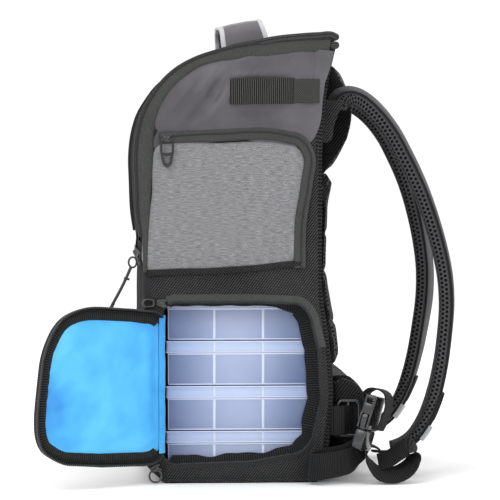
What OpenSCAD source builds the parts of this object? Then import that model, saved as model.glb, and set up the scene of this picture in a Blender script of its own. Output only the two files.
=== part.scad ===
// Tackle backpack: a top compartment with a clamshell lid over a bay of slide-in tackle boxes.
// +Z is up, the front faces -Y, the wearer's side faces +Y, and the tackle door is on the +X side.
// The origin is the middle of the flat base.

/* [Bag body] */
// Half the width of the bag across the wearer's back, mm
half_w = 149; // [140:1:156]
// Thickness of a stiffened fabric wall, mm
wall = 4; // [3:0.5:5]
// Height of the floor between the tackle bay and the top compartment, mm
floor_z = 190.5; // [190.5:0.5:195]
// Gap left between neighbouring pieces, mm
gap = 0.5; // [0.4:0.1:0.8]

/* [Tackle boxes] */
// Length of a tackle box across the bag, mm
box_l = 254; // [230:1:256]
// Depth of a tackle box from front to back, mm
box_d = 148; // [140:1:149]
// Height of a closed tackle box, mm
box_h = 44.8; // [40:0.2:45]
// Height of the lid that closes each box, mm
box_lid_h = 12; // [9:0.5:16]
// Step from one box to the next, mm
box_pitch = 45.6; // [45.4:0.1:45.8]
// Wall thickness of a box, mm
box_wall = 1.6; // [1.2:0.1:2.4]

/* [Tackle door] */
// Angle between the closed door and the door as it hangs open, degrees
door_angle = 147; // [90:1:165]
// Depth of the door's inward rim, mm
door_rim = 8; // [5:0.5:9]

/* [Shoulder straps] */
// Width of a padded strap, mm
strap_w = 64; // [50:1:70]
// Thickness of a padded strap, mm
strap_t = 14; // [10:0.5:16]
// Distance of each strap's middle from the middle of the bag, mm
strap_x = 94; // [80:1:98]
// Width of the webbing on the straps and belt, mm
webbing_w = 25; // [20:1:30]

/* [Handle] */
// Half the span of the grab handle, mm
handle_half = 62; // [50:1:75]
// Width of the grab handle's band, mm
handle_w = 36; // [28:1:40]
// Height of the grab handle above its feet, mm
handle_h = 24; // [18:1:28]

/* [Belt buckle] */
// Width of the side release buckle, mm
buckle_w = 34; // [30:1:38]
// Thickness of the side release buckle, mm
buckle_t = 12; // [10:0.5:13]
// Lean of the hanging buckle from upright, degrees
buckle_lean = 17; // [0:1:20]
// Turn of the hanging buckle towards the side of the bag, degrees
buckle_turn = 24; // [15:1:30]

/* [Hidden] */
// The node to draw, or all of them.

eps = 0.01;
// Side outlines, as [y, z] points.
front_path = [[-70, 1], [-86, 16], [-90, 120], [-90, 212], [-89, 240]];
lid_path = [
  [-89, 243], [-94, 262], [-94, 334], [-88, 350], [-80, 366], [-66, 389], [-48, 411],
  [-29, 426], [-12, 433.5], [25, 442], [96, 446]
];
seam_path = [
  [96, 437], [91, 415], [86, 384], [83, 340], [83, 190], [90, 140], [94, 90], [90, 40],
  [82, 8], [76, 1]
];
mouth = [
  [-71, 30], [-60, 19.5], [15, 22], [62, 30], [77, 44], [86, 84], [83, 134], [74, 166],
  [62, 177], [-58, 179], [-71, 170]
];
pocket_zip_path = [[-71.5, 347], [56, 347], [68, 343], [74, 332], [72, 300], [66, 262], [66, 216]];
strap_path = [
  [98, 384], [103, 391], [112, 397], [124, 399], [138, 396], [150, 389], [161, 379],
  [176, 359], [189, 332], [200, 304], [210, 270], [218, 236], [223, 205], [224, 178],
  [221, 146], [215, 112], [206, 82], [194, 58], [178, 38], [160, 28], [144, 26]
];
// Rectangle, less its lower corners, that the soft frame of the tackle door fills.
bay_frame = [[-70.5, 10], [-66, 5], [75.5, 5], [81, 11], [81, 189.3], [-70.5, 189.3]];
// Depth of the lid's skin and of the band under it.
lid_skin = 4;
lid_clear = 6;
// Hinge line of the tackle door.
door_x = 150;
door_y = -73;
side_out = half_w + 0.4;
strap_in = strap_x - strap_w / 2;
buckle_c = [161, 133, 61];

function unit_normal(a, b) = [a[1] - b[1], b[0] - a[0]] / norm(b - a);
// How far a corner b, between a and c, moves for a sideways step of 1 to the left.
function corner_step(a, b, c) =
  let (n1 = unit_normal(a == b ? b : a, a == b ? c : b), n2 = unit_normal(c == b ? a : b, c == b ? b : c))
  (n1 + n2) / (1 + n1 * n2);
// Points of an open path moved sideways by d, to the left as the path runs.
function shifted(path, d) = [
  for (i = [0:len(path) - 1])
    path[i] + d * corner_step(path[max(i - 1, 0)], path[i], path[min(i + 1, len(path) - 1)])
];
// Points of a closed loop moved sideways by d.
function loop_shifted(path, d) = [
  for (i = [0:len(path) - 1])
    let (n = len(path))
    path[i] + d * corner_step(path[(i + n - 1) % n], path[i], path[(i + 1) % n])
];
function backwards(path) = [for (i = [len(path) - 1:-1:0]) path[i]];
function part_of(path, from, to) = [for (i = [from:to]) path[i]];
function ribbon(path, d1, d2) = concat(shifted(path, d1), backwards(shifted(path, d2)));

body_outline = concat(front_path, shifted(lid_path, -lid_clear), seam_path);

// A side outline made solid from x0 to x1.
module slab(points, x0, x1) {
  translate([x0, 0, 0])
    rotate([90, 0, 90])
      linear_extrude(x1 - x0)
        polygon(points);
}

// A block given by its lowest and highest corners.
module block(lo, hi) {
  translate(lo)
    cube(hi - lo);
}

module base_panel() {
  color([0.13, 0.13, 0.14])
    block([-half_w + wall + gap, -66, 0], [half_w - wall - gap, 74, wall]);
}

module front_panel() {
  color([0.24, 0.24, 0.25])
    slab(ribbon(front_path, 0, -wall), -half_w + wall + gap, half_w - wall - gap);
}

module side_panel_right() {
  color([0.33, 0.33, 0.35])
    difference() {
      slab(body_outline, half_w - wall, half_w);
      slab(mouth, half_w - wall - 1, half_w + 1);
      block([half_w - wall - 1, -71, 4.5], [half_w + 1, 81.5, 189.8]);
    }
}

module side_panel_left() {
  color([0.33, 0.33, 0.35])
    slab(body_outline, -half_w, -half_w + wall);
}

module bay_floor() {
  color([0.15, 0.15, 0.16])
    block([-half_w + wall + gap, -85, floor_z], [half_w - wall - gap, 82, floor_z + 3]);
}

module back_board() {
  color([0.16, 0.16, 0.17])
    slab(ribbon(seam_path, gap, gap + wall), -half_w, half_w);
}

module rear_edge_roll() {
  color([0.19, 0.19, 0.2])
    slab([[97, 447], [101, 446.5], [104, 443], [104, 438], [101.5, 435], [97.4, 441]], -half_w, half_w);
}

// The band along the side of the bag below the main zip, wider above the pocket.
module edge_band() {
  path = concat([[-90, 214]], lid_path);
  last = len(path) - 1;
  inner = concat(part_of(shifted(path, -12), 0, 5), part_of(shifted(path, -21), 6, last));
  color([0.2, 0.2, 0.21])
    slab(concat(shifted(path, -9.5), backwards(inner)), side_out, side_out + 1.4);
}

module front_zip_tape() {
  color([0.1, 0.1, 0.11])
    block([-135, -92, 219], [135, -90.6, 231]);
}

module front_slider() {
  color([0.05, 0.05, 0.05])
    block([118, -96.5, 221], [128, -92.4, 230]);
}

// A ring with a thin strap that hangs forward from the front zip.
module front_pull() {
  color([0.06, 0.06, 0.06]) {
    translate([121.5, -102, 221])
      rotate([0, 90, 0])
        difference() {
          cylinder(h = 3, r = 5, $fn = 32);
          translate([0, 0, -1])
            cylinder(h = 5, r = 3, $fn = 32);
        }
    translate([121.2, -104, 215])
      rotate([-26, 0, 0])
        translate([0, -1.2, -38])
          cube([3.6, 2.4, 37.3]);
  }
}

// The curved front and top panel, with a shallow flange down each side.
module lid_panel() {
  color([0.3, 0.3, 0.32]) {
    slab(ribbon(lid_path, 0, -lid_skin), -half_w - 2, half_w + 2);
    for (side = [0, 1])
      mirror([side, 0, 0])
        slab(ribbon(lid_path, -lid_skin + eps, -8), side_out, half_w + 2);
  }
}

module lid_zip_tape() {
  color([0.08, 0.08, 0.09])
    for (side = [0, 1])
      mirror([side, 0, 0])
        slab(ribbon(lid_path, -1, -7.5), half_w + 2.3, half_w + 3.8);
}

// Everything on the handle is built flat, then set on the slope of the lid.
module on_lid() {
  translate([0, 16, 440.6])
    rotate([11, 0, 0])
      children();
}

module handle_arch(y0, y1, lift, t) {
  arch = [
    [-handle_half, 7], [-handle_half + 3, handle_h * 0.6], [-handle_half + 14, handle_h * 0.9],
    [-handle_half * 0.4, handle_h], [handle_half * 0.4, handle_h],
    [handle_half - 14, handle_h * 0.9], [handle_half - 3, handle_h * 0.6], [handle_half, 7]
  ];
  translate([0, y1, 0])
    rotate([90, 0, 0])
      linear_extrude(y1 - y0)
        polygon(ribbon(arch, lift + t, lift));
}

module handle_feet() {
  color([0.2, 0.2, 0.21])
    on_lid()
      for (side = [-1, 1])
        translate([side * handle_half - 7, -4, 1])
          cube([14, 8, 2.6]);
}

module handle_strap() {
  color([0.26, 0.26, 0.28])
    on_lid()
      handle_arch(-handle_w / 2, handle_w / 2, 0, 3.4);
}

module handle_piping() {
  color([0.75, 0.76, 0.78])
    on_lid()
      for (y = [-handle_w / 2 - 3, handle_w / 2 + gap])
        handle_arch(y, y + 2.5, 0, 3);
}

// The pocket on each side is built on the right, then mirrored for the left.
module pocket_panel() {
  tail = part_of(pocket_zip_path, 1, 6);
  color([0.55, 0.56, 0.58])
    slab(concat([[-76.5, 209], [-76.5, 340.5]], shifted(tail, -6.5)), side_out, side_out + 5);
}

module pocket_zip() {
  color([0.1, 0.1, 0.11]) {
    slab(ribbon(pocket_zip_path, 6, -6), side_out, side_out + 2);
    slab(ribbon(pocket_zip_path, 1.5, -1.5), side_out + 2 - eps, side_out + 3.2);
  }
}

module pocket_slider() {
  color([0.04, 0.04, 0.04])
    block([side_out + 3.6, -73, 343], [side_out + 6.2, -61, 351]);
}

module pocket_tab() {
  color([0.62, 0.63, 0.65])
    difference() {
      block([side_out + 6.6, -71, 317], [side_out + 8, -63, 347]);
      translate([side_out, -67, 322])
        rotate([0, 90, 0])
          cylinder(h = 12, r = 2, $fn = 32);
    }
}

// A wide flat loop of ribbed webbing with a strip of patterned tape behind it.
module side_loop() {
  color([0.09, 0.09, 0.1]) {
    difference() {
      block([side_out, -4, 379], [side_out + 5.6, 58, 405]);
      block([side_out - 1, 4, 378], [side_out + 3.4, 50, 406]);
    }
    block([side_out, 58.5, 381], [side_out + 1.6, 81, 405]);
  }
}

// The soft frame of the tackle door's mouth, with its half of the zip.
module door_surround() {
  color([0.12, 0.12, 0.13])
    difference() {
      slab(bay_frame, half_w - wall + 0.2, half_w - 0.6);
      slab(mouth, half_w - wall - 1, half_w + 1);
    }
}

// The loose fabric edge just inside the mouth, in front of the boxes.
module bay_lip() {
  color([0.06, 0.06, 0.07])
    difference() {
      slab(loop_shifted(bay_frame, -0.8), 129.5, 138);
      slab(loop_shifted(mouth, 1), 128, 139);
    }
}

module door_slider_upper() {
  color([0.04, 0.04, 0.04])
    block([half_w + 1, -80, 180], [half_w + 5, -70.5, 189]);
}

// A stirrup that lies forward from the upper door slider, flat on the side of the bag.
module door_pull_upper() {
  color([0.04, 0.04, 0.04])
    difference() {
      block([half_w + 1.6, -92, 180.5], [half_w + 3.4, -80.6, 188.5]);
      block([half_w + 1, -90.2, 182.5], [half_w + 4, -83, 186.5]);
    }
}

module door_slider_lower() {
  color([0.04, 0.04, 0.04])
    block([half_w + 1, -85, 12], [half_w + 5, -74, 19]);
}

// A flattened ring that hangs from the lower door slider, just clear of the ground.
module door_pull_lower() {
  color([0.04, 0.04, 0.04])
    translate([half_w + 5.4, -80, 8])
      rotate([0, 90, 0])
        difference() {
          cylinder(h = 2, r = 7.2, $fn = 48);
          translate([0, 0, -1])
            cylinder(h = 4, r = 5, $fn = 48);
        }
}

// Everything on the door is built closed, then swung open about its front edge.
module on_door() {
  translate([door_x, door_y, 0])
    rotate([0, 0, -door_angle])
      translate([-door_x, -door_y, 0])
        children();
}

door_outline = loop_shifted(
  [
    [-71, 36], [-56, 19.5], [15, 22], [62, 30], [77, 44], [86, 84], [83, 134], [74, 166],
    [62, 177], [-56, 179], [-71, 164]
  ],
  1.6
);
border_outline = loop_shifted(door_outline, 4);
lining_outline = loop_shifted(door_outline, 14);

module door_panel() {
  color([0.17, 0.17, 0.18])
    on_door()
      slab(door_outline, door_x - 2.8, door_x - 0.4);
}

module door_zip_rim() {
  color([0.07, 0.07, 0.08])
    on_door()
      difference() {
        slab(door_outline, door_x - 3.2 - door_rim, door_x - 3.2);
        slab(loop_shifted(door_outline, 3), door_x - 4 - door_rim, door_x);
        block([door_x - 20, -90, 0], [door_x, -60, 200]);
      }
}

module door_border() {
  color([0.1, 0.1, 0.11])
    on_door()
      difference() {
        slab(border_outline, door_x - 5.4, door_x - 3.2);
        slab(loop_shifted(lining_outline, -0.5), door_x - 6, door_x - 2);
      }
}

module door_lining() {
  color([0.25, 0.62, 0.9])
    on_door()
      slab(lining_outline, door_x - 6, door_x - 3.2);
}

// One closed tackle box, counted from the bottom of the stack.
module box_at(n) {
  translate([-127, -69, 5.6 + (n - 1) * box_pitch])
    children();
}

module tackle_tray(n) {
  tray_h = box_h - box_lid_h - 0.4;
  lane_d = (box_d - 4 * box_wall) / 3;
  color([0.7, 0.78, 0.92, 0.5])
    box_at(n)
      difference() {
        cube([box_l, box_d, tray_h]);
        for (lane = [0:2])
          translate([box_wall, box_wall + lane * (lane_d + box_wall), box_wall])
            cube([box_l - 2 * box_wall, lane_d, tray_h]);
      }
}

module tackle_lid(n) {
  color([0.8, 0.86, 0.95, 0.5])
    box_at(n)
      translate([0, 0, box_h - box_lid_h])
        difference() {
          cube([box_l, box_d, box_lid_h]);
          translate([box_wall, box_wall, -1])
            cube([box_l - 2 * box_wall, box_d - 2 * box_wall, box_lid_h - box_wall + 1]);
        }
}

module back_pad_upper() {
  color([0.12, 0.12, 0.13])
    slab(
      [[88.5, 301], [92.5, 384], [97, 416], [101.5, 431], [105, 424], [111, 399], [114, 384],
       [113, 364], [110, 344], [99, 309]],
      -58,
      58
    );
}

module back_pad_middle() {
  color([0.13, 0.13, 0.14])
    slab(
      [[88, 298], [96, 292], [94, 274], [91.5, 268], [92, 224], [96, 194], [104, 153],
       [106, 134], [108, 112], [99, 110], [95.6, 140], [88, 191]],
      -120,
      120
    );
}

module lumbar_pad() {
  color([0.11, 0.11, 0.12])
    slab(
      [[98.8, 107], [99.4, 90], [95.6, 40], [92, 16], [124, 12], [134, 20], [135, 86], [118, 106]],
      -118,
      118
    );
}

// Triangular wings sewn into the side seams, and the tabs that hold the strap ends.
module strap_roots() {
  color([0.16, 0.16, 0.17])
    for (side = [0, 1])
      mirror([side, 0, 0]) {
        slab([[92.2, 384], [110, 384], [102, 360], [98, 344], [88.6, 342]], 127.5, 131.5);
        block([strap_in + 8, 91.5, 364], [strap_in + strap_w - 8, 96, 376]);
      }
}

module strap_pad() {
  color([0.14, 0.14, 0.15])
    slab(ribbon(strap_path, 0, -strap_t), strap_in, strap_in + strap_w);
}

// The end cap, the webbing under it and the reflective patch on the outside of a strap.
module strap_trim() {
  mid_0 = strap_x - webbing_w / 2;
  mid_1 = strap_x + webbing_w / 2;
  color([0.08, 0.08, 0.09])
    slab(ribbon(part_of(strap_path, 15, 16), 3, 0.4), mid_0 - 8, mid_1 + 8);
  color([0.2, 0.2, 0.21])
    slab(ribbon(part_of(strap_path, 16, 20), 2, 0.4), mid_0, mid_1);
  color([0.78, 0.79, 0.8])
    slab(ribbon(part_of(strap_path, 16, 17), 3.2, 2.3), mid_0 - 1, mid_1 + 1);
}

// Short webbing tails from the foot of the bag towards the strap ends.
module strap_tails() {
  color([0.1, 0.1, 0.11])
    for (side = [0, 1])
      mirror([side, 0, 0])
        translate([strap_x - webbing_w / 2, 136, 30])
          cube([webbing_w, 5.5, 3]);
}

module hip_wings() {
  color([0.15, 0.15, 0.16])
    for (side = [0, 1])
      mirror([side, 0, 0])
        slab([[99, 42], [99.8, 100], [112, 106], [128, 98], [135, 82], [135, 40], [120, 36]], 118.5, 138);
}

// The tri-glide on the right wing, with the folded webbing end beside it.
module belt_glide() {
  color([0.05, 0.05, 0.05])
    difference() {
      block([138.5, 105, 46], [141.5, 125, 82]);
      block([138, 108, 50], [142, 113.5, 78]);
      block([138, 116.5, 50], [142, 122, 78]);
    }
  color([0.09, 0.09, 0.1])
    block([149.8, 97, 48], [155, 110, 77]);
}

// Local frame of the buckle: its length stands along Z and its face looks along Y.
module on_buckle() {
  translate(buckle_c)
    rotate([-buckle_lean, 0, 0])
      rotate([0, 0, -buckle_turn])
        children();
}

module buckle_socket() {
  half = buckle_w / 2;
  color([0.03, 0.03, 0.03])
    on_buckle()
      difference() {
        block([-half, -buckle_t / 2, -6], [half, buckle_t / 2, 28]);
        block([-half + 3, -buckle_t / 2 + 2.5, -7], [half - 3, buckle_t / 2 - 2.5, 16]);
        block([-half + 4, -buckle_t / 2 - 1, 20], [half - 4, buckle_t / 2 + 1, 24]);
      }
}

module buckle_tongue() {
  half = buckle_w / 2;
  color([0.04, 0.04, 0.04])
    on_buckle()
      difference() {
        union() {
          block([-half, -buckle_t / 2, -28], [half, buckle_t / 2, -6.6]);
          for (x = [-half + 3.5, -2, half - 8.5])
            block([x, -buckle_t / 2 + 3.2, -7], [x + 5, buckle_t / 2 - 3.2, 14]);
        }
        block([-half + 4, -buckle_t / 2 - 1, -24], [half - 4, buckle_t / 2 + 1, -19]);
      }
}

// Webbing that runs through the socket's slot and arches over its top.
module buckle_socket_webbing() {
  arch = [[2, 21.6], [-9, 21.6], [-11.5, 26], [-8, 32.5], [2, 36], [11, 33.5], [15.5, 24], [16, 8], [14, -4]];
  color([0.08, 0.08, 0.09])
    on_buckle()
      slab(ribbon(arch, 1.2, 0), -webbing_w / 2, webbing_w / 2);
}

// Two loose loops of belt webbing that rest on the ground below the buckle.
module belt_webbing() {
  front_loop = [
    [121, 32], [112, 27], [100, 30], [86, 28], [76, 20], [74, 8], [84, 1.8], [98, 1.8], [108, 8]
  ];
  rear_loop = [
    [127, 31], [133, 16], [142, 6], [154, 2.2], [168, 6], [180, 17], [182, 30], [174, 35],
    [160, 25]
  ];
  color([0.09, 0.09, 0.1]) {
    slab(ribbon(front_loop, 0, -1.4), 156, 181);
    slab(ribbon(rear_loop, 1.4, 0), 148, 173);
  }
}

base_panel();
front_panel();
side_panel_right();
side_panel_left();
bay_floor();
back_board();
rear_edge_roll();
edge_band();  // edge_band_right
mirror([1, 0, 0]) edge_band();  // edge_band_left
front_zip_tape();
front_slider();
front_pull();
lid_panel();
lid_zip_tape();
handle_feet();
handle_strap();
handle_piping();
pocket_panel();  // pocket_panel_right
pocket_zip();  // pocket_zip_right
pocket_slider();  // pocket_slider_right
pocket_tab();  // pocket_tab_right
mirror([1, 0, 0]) pocket_panel();  // pocket_panel_left
mirror([1, 0, 0]) pocket_zip();  // pocket_zip_left
mirror([1, 0, 0]) pocket_slider();  // pocket_slider_left
mirror([1, 0, 0]) pocket_tab();  // pocket_tab_left
side_loop();  // side_loop_right
mirror([1, 0, 0]) side_loop();  // side_loop_left
door_surround();
bay_lip();
door_slider_upper();
door_pull_upper();
door_slider_lower();
door_pull_lower();
door_panel();
door_border();
door_lining();
door_zip_rim();
tackle_tray(1);  // tackle_tray_1
tackle_lid(1);  // tackle_lid_1
tackle_tray(2);  // tackle_tray_2
tackle_lid(2);  // tackle_lid_2
tackle_tray(3);  // tackle_tray_3
tackle_lid(3);  // tackle_lid_3
tackle_tray(4);  // tackle_tray_4
tackle_lid(4);  // tackle_lid_4
back_pad_upper();
back_pad_middle();
lumbar_pad();
strap_roots();
strap_pad();  // strap_pad_right
strap_trim();  // strap_trim_right
mirror([1, 0, 0]) strap_pad();  // strap_pad_left
mirror([1, 0, 0]) strap_trim();  // strap_trim_left
strap_tails();
hip_wings();
belt_glide();
belt_webbing();
buckle_socket();
buckle_socket_webbing();
buckle_tongue();
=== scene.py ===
"""Looks of the tackle backpack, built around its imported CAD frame."""

import math

import bmesh
import bpy
import numpy as np
from mathutils import Matrix, Vector


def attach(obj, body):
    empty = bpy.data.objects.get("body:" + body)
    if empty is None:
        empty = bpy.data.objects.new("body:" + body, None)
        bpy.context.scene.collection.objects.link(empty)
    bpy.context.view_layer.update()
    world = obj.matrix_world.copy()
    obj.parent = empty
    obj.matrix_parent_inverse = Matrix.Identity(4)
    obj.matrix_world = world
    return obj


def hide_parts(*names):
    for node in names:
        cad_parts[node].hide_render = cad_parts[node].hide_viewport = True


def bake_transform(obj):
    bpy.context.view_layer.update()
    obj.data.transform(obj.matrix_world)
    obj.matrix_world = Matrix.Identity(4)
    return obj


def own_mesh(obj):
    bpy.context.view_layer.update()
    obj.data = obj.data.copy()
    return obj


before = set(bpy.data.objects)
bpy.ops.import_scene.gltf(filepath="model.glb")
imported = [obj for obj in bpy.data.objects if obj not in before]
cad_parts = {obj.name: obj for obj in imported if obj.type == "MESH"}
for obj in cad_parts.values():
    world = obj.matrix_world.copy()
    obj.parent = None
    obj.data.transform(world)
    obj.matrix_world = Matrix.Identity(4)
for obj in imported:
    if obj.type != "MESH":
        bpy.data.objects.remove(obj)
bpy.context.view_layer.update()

MM = 0.001
TAU = 2 * math.pi

# ---- materials


class Wire:
    """A shader value that arithmetic works on."""

    def __init__(self, tree, socket):
        self.tree, self.socket = tree, socket

    def math(self, operation, *others):
        node = self.tree.nodes.new("ShaderNodeMath")
        node.operation = operation
        for slot, value in enumerate((self,) + others):
            if isinstance(value, Wire):
                self.tree.links.new(value.socket, node.inputs[slot])
            else:
                node.inputs[slot].default_value = value
        return Wire(self.tree, node.outputs[0])

    def __add__(self, other):
        return self.math("ADD", other)

    def __sub__(self, other):
        return self.math("SUBTRACT", other)

    def __mul__(self, other):
        return self.math("MULTIPLY", other)

    def wave(self, pitch):
        """0 to 1 and back over each pitch."""
        return (self * (TAU / pitch)).math("SINE") * 0.5 + 0.5

    def clip(self):
        return self.math("MAXIMUM", 0.0).math("MINIMUM", 1.0)

    def step(self, low, high):
        """0 below low, 1 above high, and even between them."""
        return ((self - low) * (1 / (high - low))).clip()


class Shader:
    """One node material. `coords` says which two axes its pattern lies in; "round" carries a
    pattern from a face that looks along y on to one that looks along x."""

    def __init__(self, name, coords="uv", **inputs):
        self.material = bpy.data.materials.new(name)
        self.material.use_nodes = True
        self.tree = self.material.node_tree
        self.bsdf = self.tree.nodes["Principled BSDF"]
        for key, value in inputs.items():
            self.bsdf.inputs[key.replace("_", " ")].default_value = value
        place = self.tree.nodes.new("ShaderNodeTexCoord")
        self.point = place.outputs["Object"]
        split = self.tree.nodes.new("ShaderNodeSeparateXYZ")
        flat = coords == "uv"
        self.tree.links.new(place.outputs["UV" if flat else "Object"], split.inputs[0])
        axis = {"uv": (0, 1), "yz": (1, 2), "xz": (0, 2), "xy": (0, 1), "round": (0, 2)}[coords]
        self.u, self.v = (Wire(self.tree, split.outputs[k]) for k in axis)
        if coords == "round":
            self.u = self.u + Wire(self.tree, split.outputs[1]) * 0.9

    def noise(self, scale, detail=2.0, stretch=None):
        node = self.tree.nodes.new("ShaderNodeTexNoise")
        node.inputs["Scale"].default_value = scale
        node.inputs["Detail"].default_value = detail
        if stretch is None:
            self.tree.links.new(self.point, node.inputs["Vector"])
        else:
            join = self.tree.nodes.new("ShaderNodeCombineXYZ")
            for slot, value in enumerate((self.u * stretch[0], self.v * stretch[1])):
                self.tree.links.new(value.socket, join.inputs[slot])
            self.tree.links.new(join.outputs[0], node.inputs["Vector"])
        return Wire(self.tree, node.outputs["Fac"])

    def colour(self, mask, *stops):
        """Colour from a 0 to 1 mask. Each stop is (position, (r, g, b))."""
        ramp = self.tree.nodes.new("ShaderNodeValToRGB")
        while len(ramp.color_ramp.elements) < len(stops):
            ramp.color_ramp.elements.new(0.5)
        for element, (position, rgb) in zip(ramp.color_ramp.elements, stops):
            element.position = position
            element.color = (*rgb, 1)
        self.tree.links.new(mask.socket, ramp.inputs[0])
        self.tree.links.new(ramp.outputs[0], self.bsdf.inputs["Base Color"])
        return self

    def rough(self, mask, low, high):
        wire = mask * (high - low) + low
        self.tree.links.new(wire.socket, self.bsdf.inputs["Roughness"])
        return self

    def bump(self, height, depth, strength=0.6):
        node = self.tree.nodes.new("ShaderNodeBump")
        node.inputs["Distance"].default_value = depth
        node.inputs["Strength"].default_value = strength
        self.tree.links.new(height.socket, node.inputs["Height"])
        self.tree.links.new(node.outputs[0], self.bsdf.inputs["Normal"])
        return self


TWILL_LEAN = 0.93


def twill(name, dark, light, pitch, coords="uv", spots=0.35, depth=0.0005):
    """Diagonal twill: light threads broken into short floats, with slow random changes in tone."""
    s = Shader(name, coords, Sheen_Weight=0.02, Specular_IOR_Level=0.08)
    along = s.u * math.cos(TWILL_LEAN) + s.v * math.sin(TWILL_LEAN)
    over = s.v * math.cos(TWILL_LEAN) - s.u * math.sin(TWILL_LEAN)
    wobble = s.noise(160.0, 3.0)
    ridge = (over + wobble * (pitch * 0.5)).wave(pitch)
    floats = (along + over * 0.5).wave(pitch * 1.35)
    mask = (ridge * 0.75 + 0.12) * (floats * spots + (1 - spots)) * (s.noise(620.0) * 1.3 + 0.35)
    slow_tone = (mask + (s.noise(22.0, 4.0) - 0.5) * 0.3).clip()
    s.colour(slow_tone, (0.08, dark), (0.9, light)).rough(mask, 0.95, 0.7)
    s.bump(mask, depth)
    return s.material


def ribbed(name, dark, light, pitch, depth=0.0006):
    """Woven webbing: ribs across its length, each broken by fine threads."""
    s = Shader(name, Sheen_Weight=0.03, Specular_IOR_Level=0.15)
    rib = (s.v + s.noise(300.0) * (pitch * 0.25)).wave(pitch)
    thread = (s.u + s.v * 0.5).wave(pitch * 0.8)
    mask = (rib * (thread * 0.45 + 0.55)) * (s.noise(900.0) * 0.7 + 0.65)
    s.colour(mask.clip(), (0.15, dark), (0.9, light)).rough(rib, 0.9, 0.6)
    s.bump(rib * 0.8 + thread * 0.2, depth)
    return s.material


def herringbone(name, dark, light, pitch, width):
    """Zigzag woven tape."""
    s = Shader(name, Specular_IOR_Level=0.3)
    zig = (s.u.math("PINGPONG", width) + s.v).wave(pitch)
    mask = zig * (s.noise(900.0) * 0.8 + 0.55)
    s.colour(mask.clip(), (0.1, dark), (0.9, light)).rough(zig, 0.85, 0.6)
    s.bump(zig, 0.0003)
    return s.material


def satin(name, dark, light, coords="yz", rough=(0.42, 0.56), sheen=0.25, gleam=0.45):
    """Coated smooth cloth with faint thread lines, and slow dark-to-light changes in colour that are painted
    fold shading.
    """
    s = Shader(name, coords, Sheen_Weight=sheen, Sheen_Roughness=0.4, Specular_IOR_Level=gleam)
    # painted fold shading: slow noise that darkens and lightens the colour as folds would
    painted_fold_shade = s.noise(16.0, 3.0)
    threads = s.noise(260.0, 2.0, (1.0, 6.0))
    s.colour((painted_fold_shade * 0.8 + threads * 0.2).clip(), (0.3, dark), (0.7, light))
    s.rough(s.noise(45.0, 4.0), *rough)
    s.bump(threads * 0.4 + s.noise(80.0, 4.0) * 0.6, 0.0005, 0.35)
    return s.material


def heather(name):
    """Two-tone melange: pale and dark yarns in a fine diagonal weave."""
    s = Shader(name, "yz", Sheen_Weight=0.2, Specular_IOR_Level=0.2)
    streak = s.noise(420.0, 3.0, (0.35, 2.6))
    fleck = s.noise(700.0, 2.0, (1.6, 0.8))
    over = (s.v * 0.8 - s.u * 0.6 + s.noise(200.0) * 0.0012).wave(0.0019)
    mask = (streak * 0.6 + fleck * 0.4 - 0.5) * 1.7 + 0.45 + over * 0.13
    stops = ((0.1, (0.06, 0.06, 0.064)), (0.5, (0.17, 0.17, 0.175)), (0.95, (0.34, 0.34, 0.35)))
    s.colour(mask.clip(), *stops)
    s.rough(over, 0.95, 0.8)
    s.bump(over * 0.5 + streak * 0.5, 0.0002)
    return s.material


def spacer_mesh(name, dark, light, pitch, coords="uv"):
    """Open knitted mesh: round dark eyes in a honeycomb of strands."""
    s = Shader(name, coords, Sheen_Weight=0.03, Specular_IOR_Level=0.15)
    turn = [(math.cos(a), math.sin(a)) for a in (0.0, TAU / 6, TAU / 3)]
    waves = [((s.u * c + s.v * k) * (TAU / pitch)).math("COSINE") for c, k in turn]
    eyes = ((waves[0] + waves[1] + waves[2]) * (1 / 4.5) + 0.33).step(0.2, 0.5)
    strand = eyes * -1.0 + 1.0
    mask = strand * (s.noise(800.0) * 0.6 + 0.7)
    s.colour(mask.clip(), (0.05, dark), (0.95, light)).rough(strand, 0.95, 0.65)
    s.bump(strand, 0.0012, 0.8)
    return s.material


def plastic(name, rgb, rough, metallic=0.0, coat=0.0, **inputs):
    """Moulded or plated part: faint cloudiness and fine scratches."""
    s = Shader(name, "xz", Metallic=metallic, Coat_Weight=coat, Coat_Roughness=0.12, **inputs)
    cloud = s.noise(60.0, 4.0)
    low = tuple(c * 0.82 for c in rgb)
    s.colour(cloud, (0.3, low), (0.7, rgb))
    s.rough(s.noise(240.0, 5.0, (1.0, 9.0)), rough * 0.75, rough * 1.3)
    s.bump(s.noise(500.0, 3.0), 0.0002, 0.25)
    return s.material


def frosted(name, rgb, pale, clear):
    """Frosted polypropylene. Its middle lane is lit a little more than the outer two."""
    s = Shader(name, "yz", Transmission_Weight=clear, IOR=1.45, Specular_IOR_Level=0.5)
    lanes = ((s.u - 0.002) * (TAU / 0.15)).math("COSINE") * 0.5 + 0.5
    mask = (lanes * 0.6 + s.noise(18.0, 3.0) * 0.3 + (s.v * 22.0).math("FRACT") * 0.15).clip()
    s.colour(mask, (0.15, rgb), (0.85, pale)).rough(s.noise(120.0, 4.0), 0.28, 0.42)
    s.bump(s.noise(260.0, 3.0), 0.0002, 0.2)
    return s.material


def reflective(name):
    """Pale tape with a pressed grid."""
    s = Shader(name, "uv", Metallic=0.1, Specular_IOR_Level=0.6)
    grid = s.u.wave(0.0022).math("MAXIMUM", s.v.wave(0.0022)).step(0.9, 1.0)
    s.colour(grid, (0.0, (0.36, 0.37, 0.38)), (1.0, (0.52, 0.53, 0.54))).rough(grid, 0.35, 0.6)
    s.bump(grid, 0.0002)
    return s.material


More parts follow.
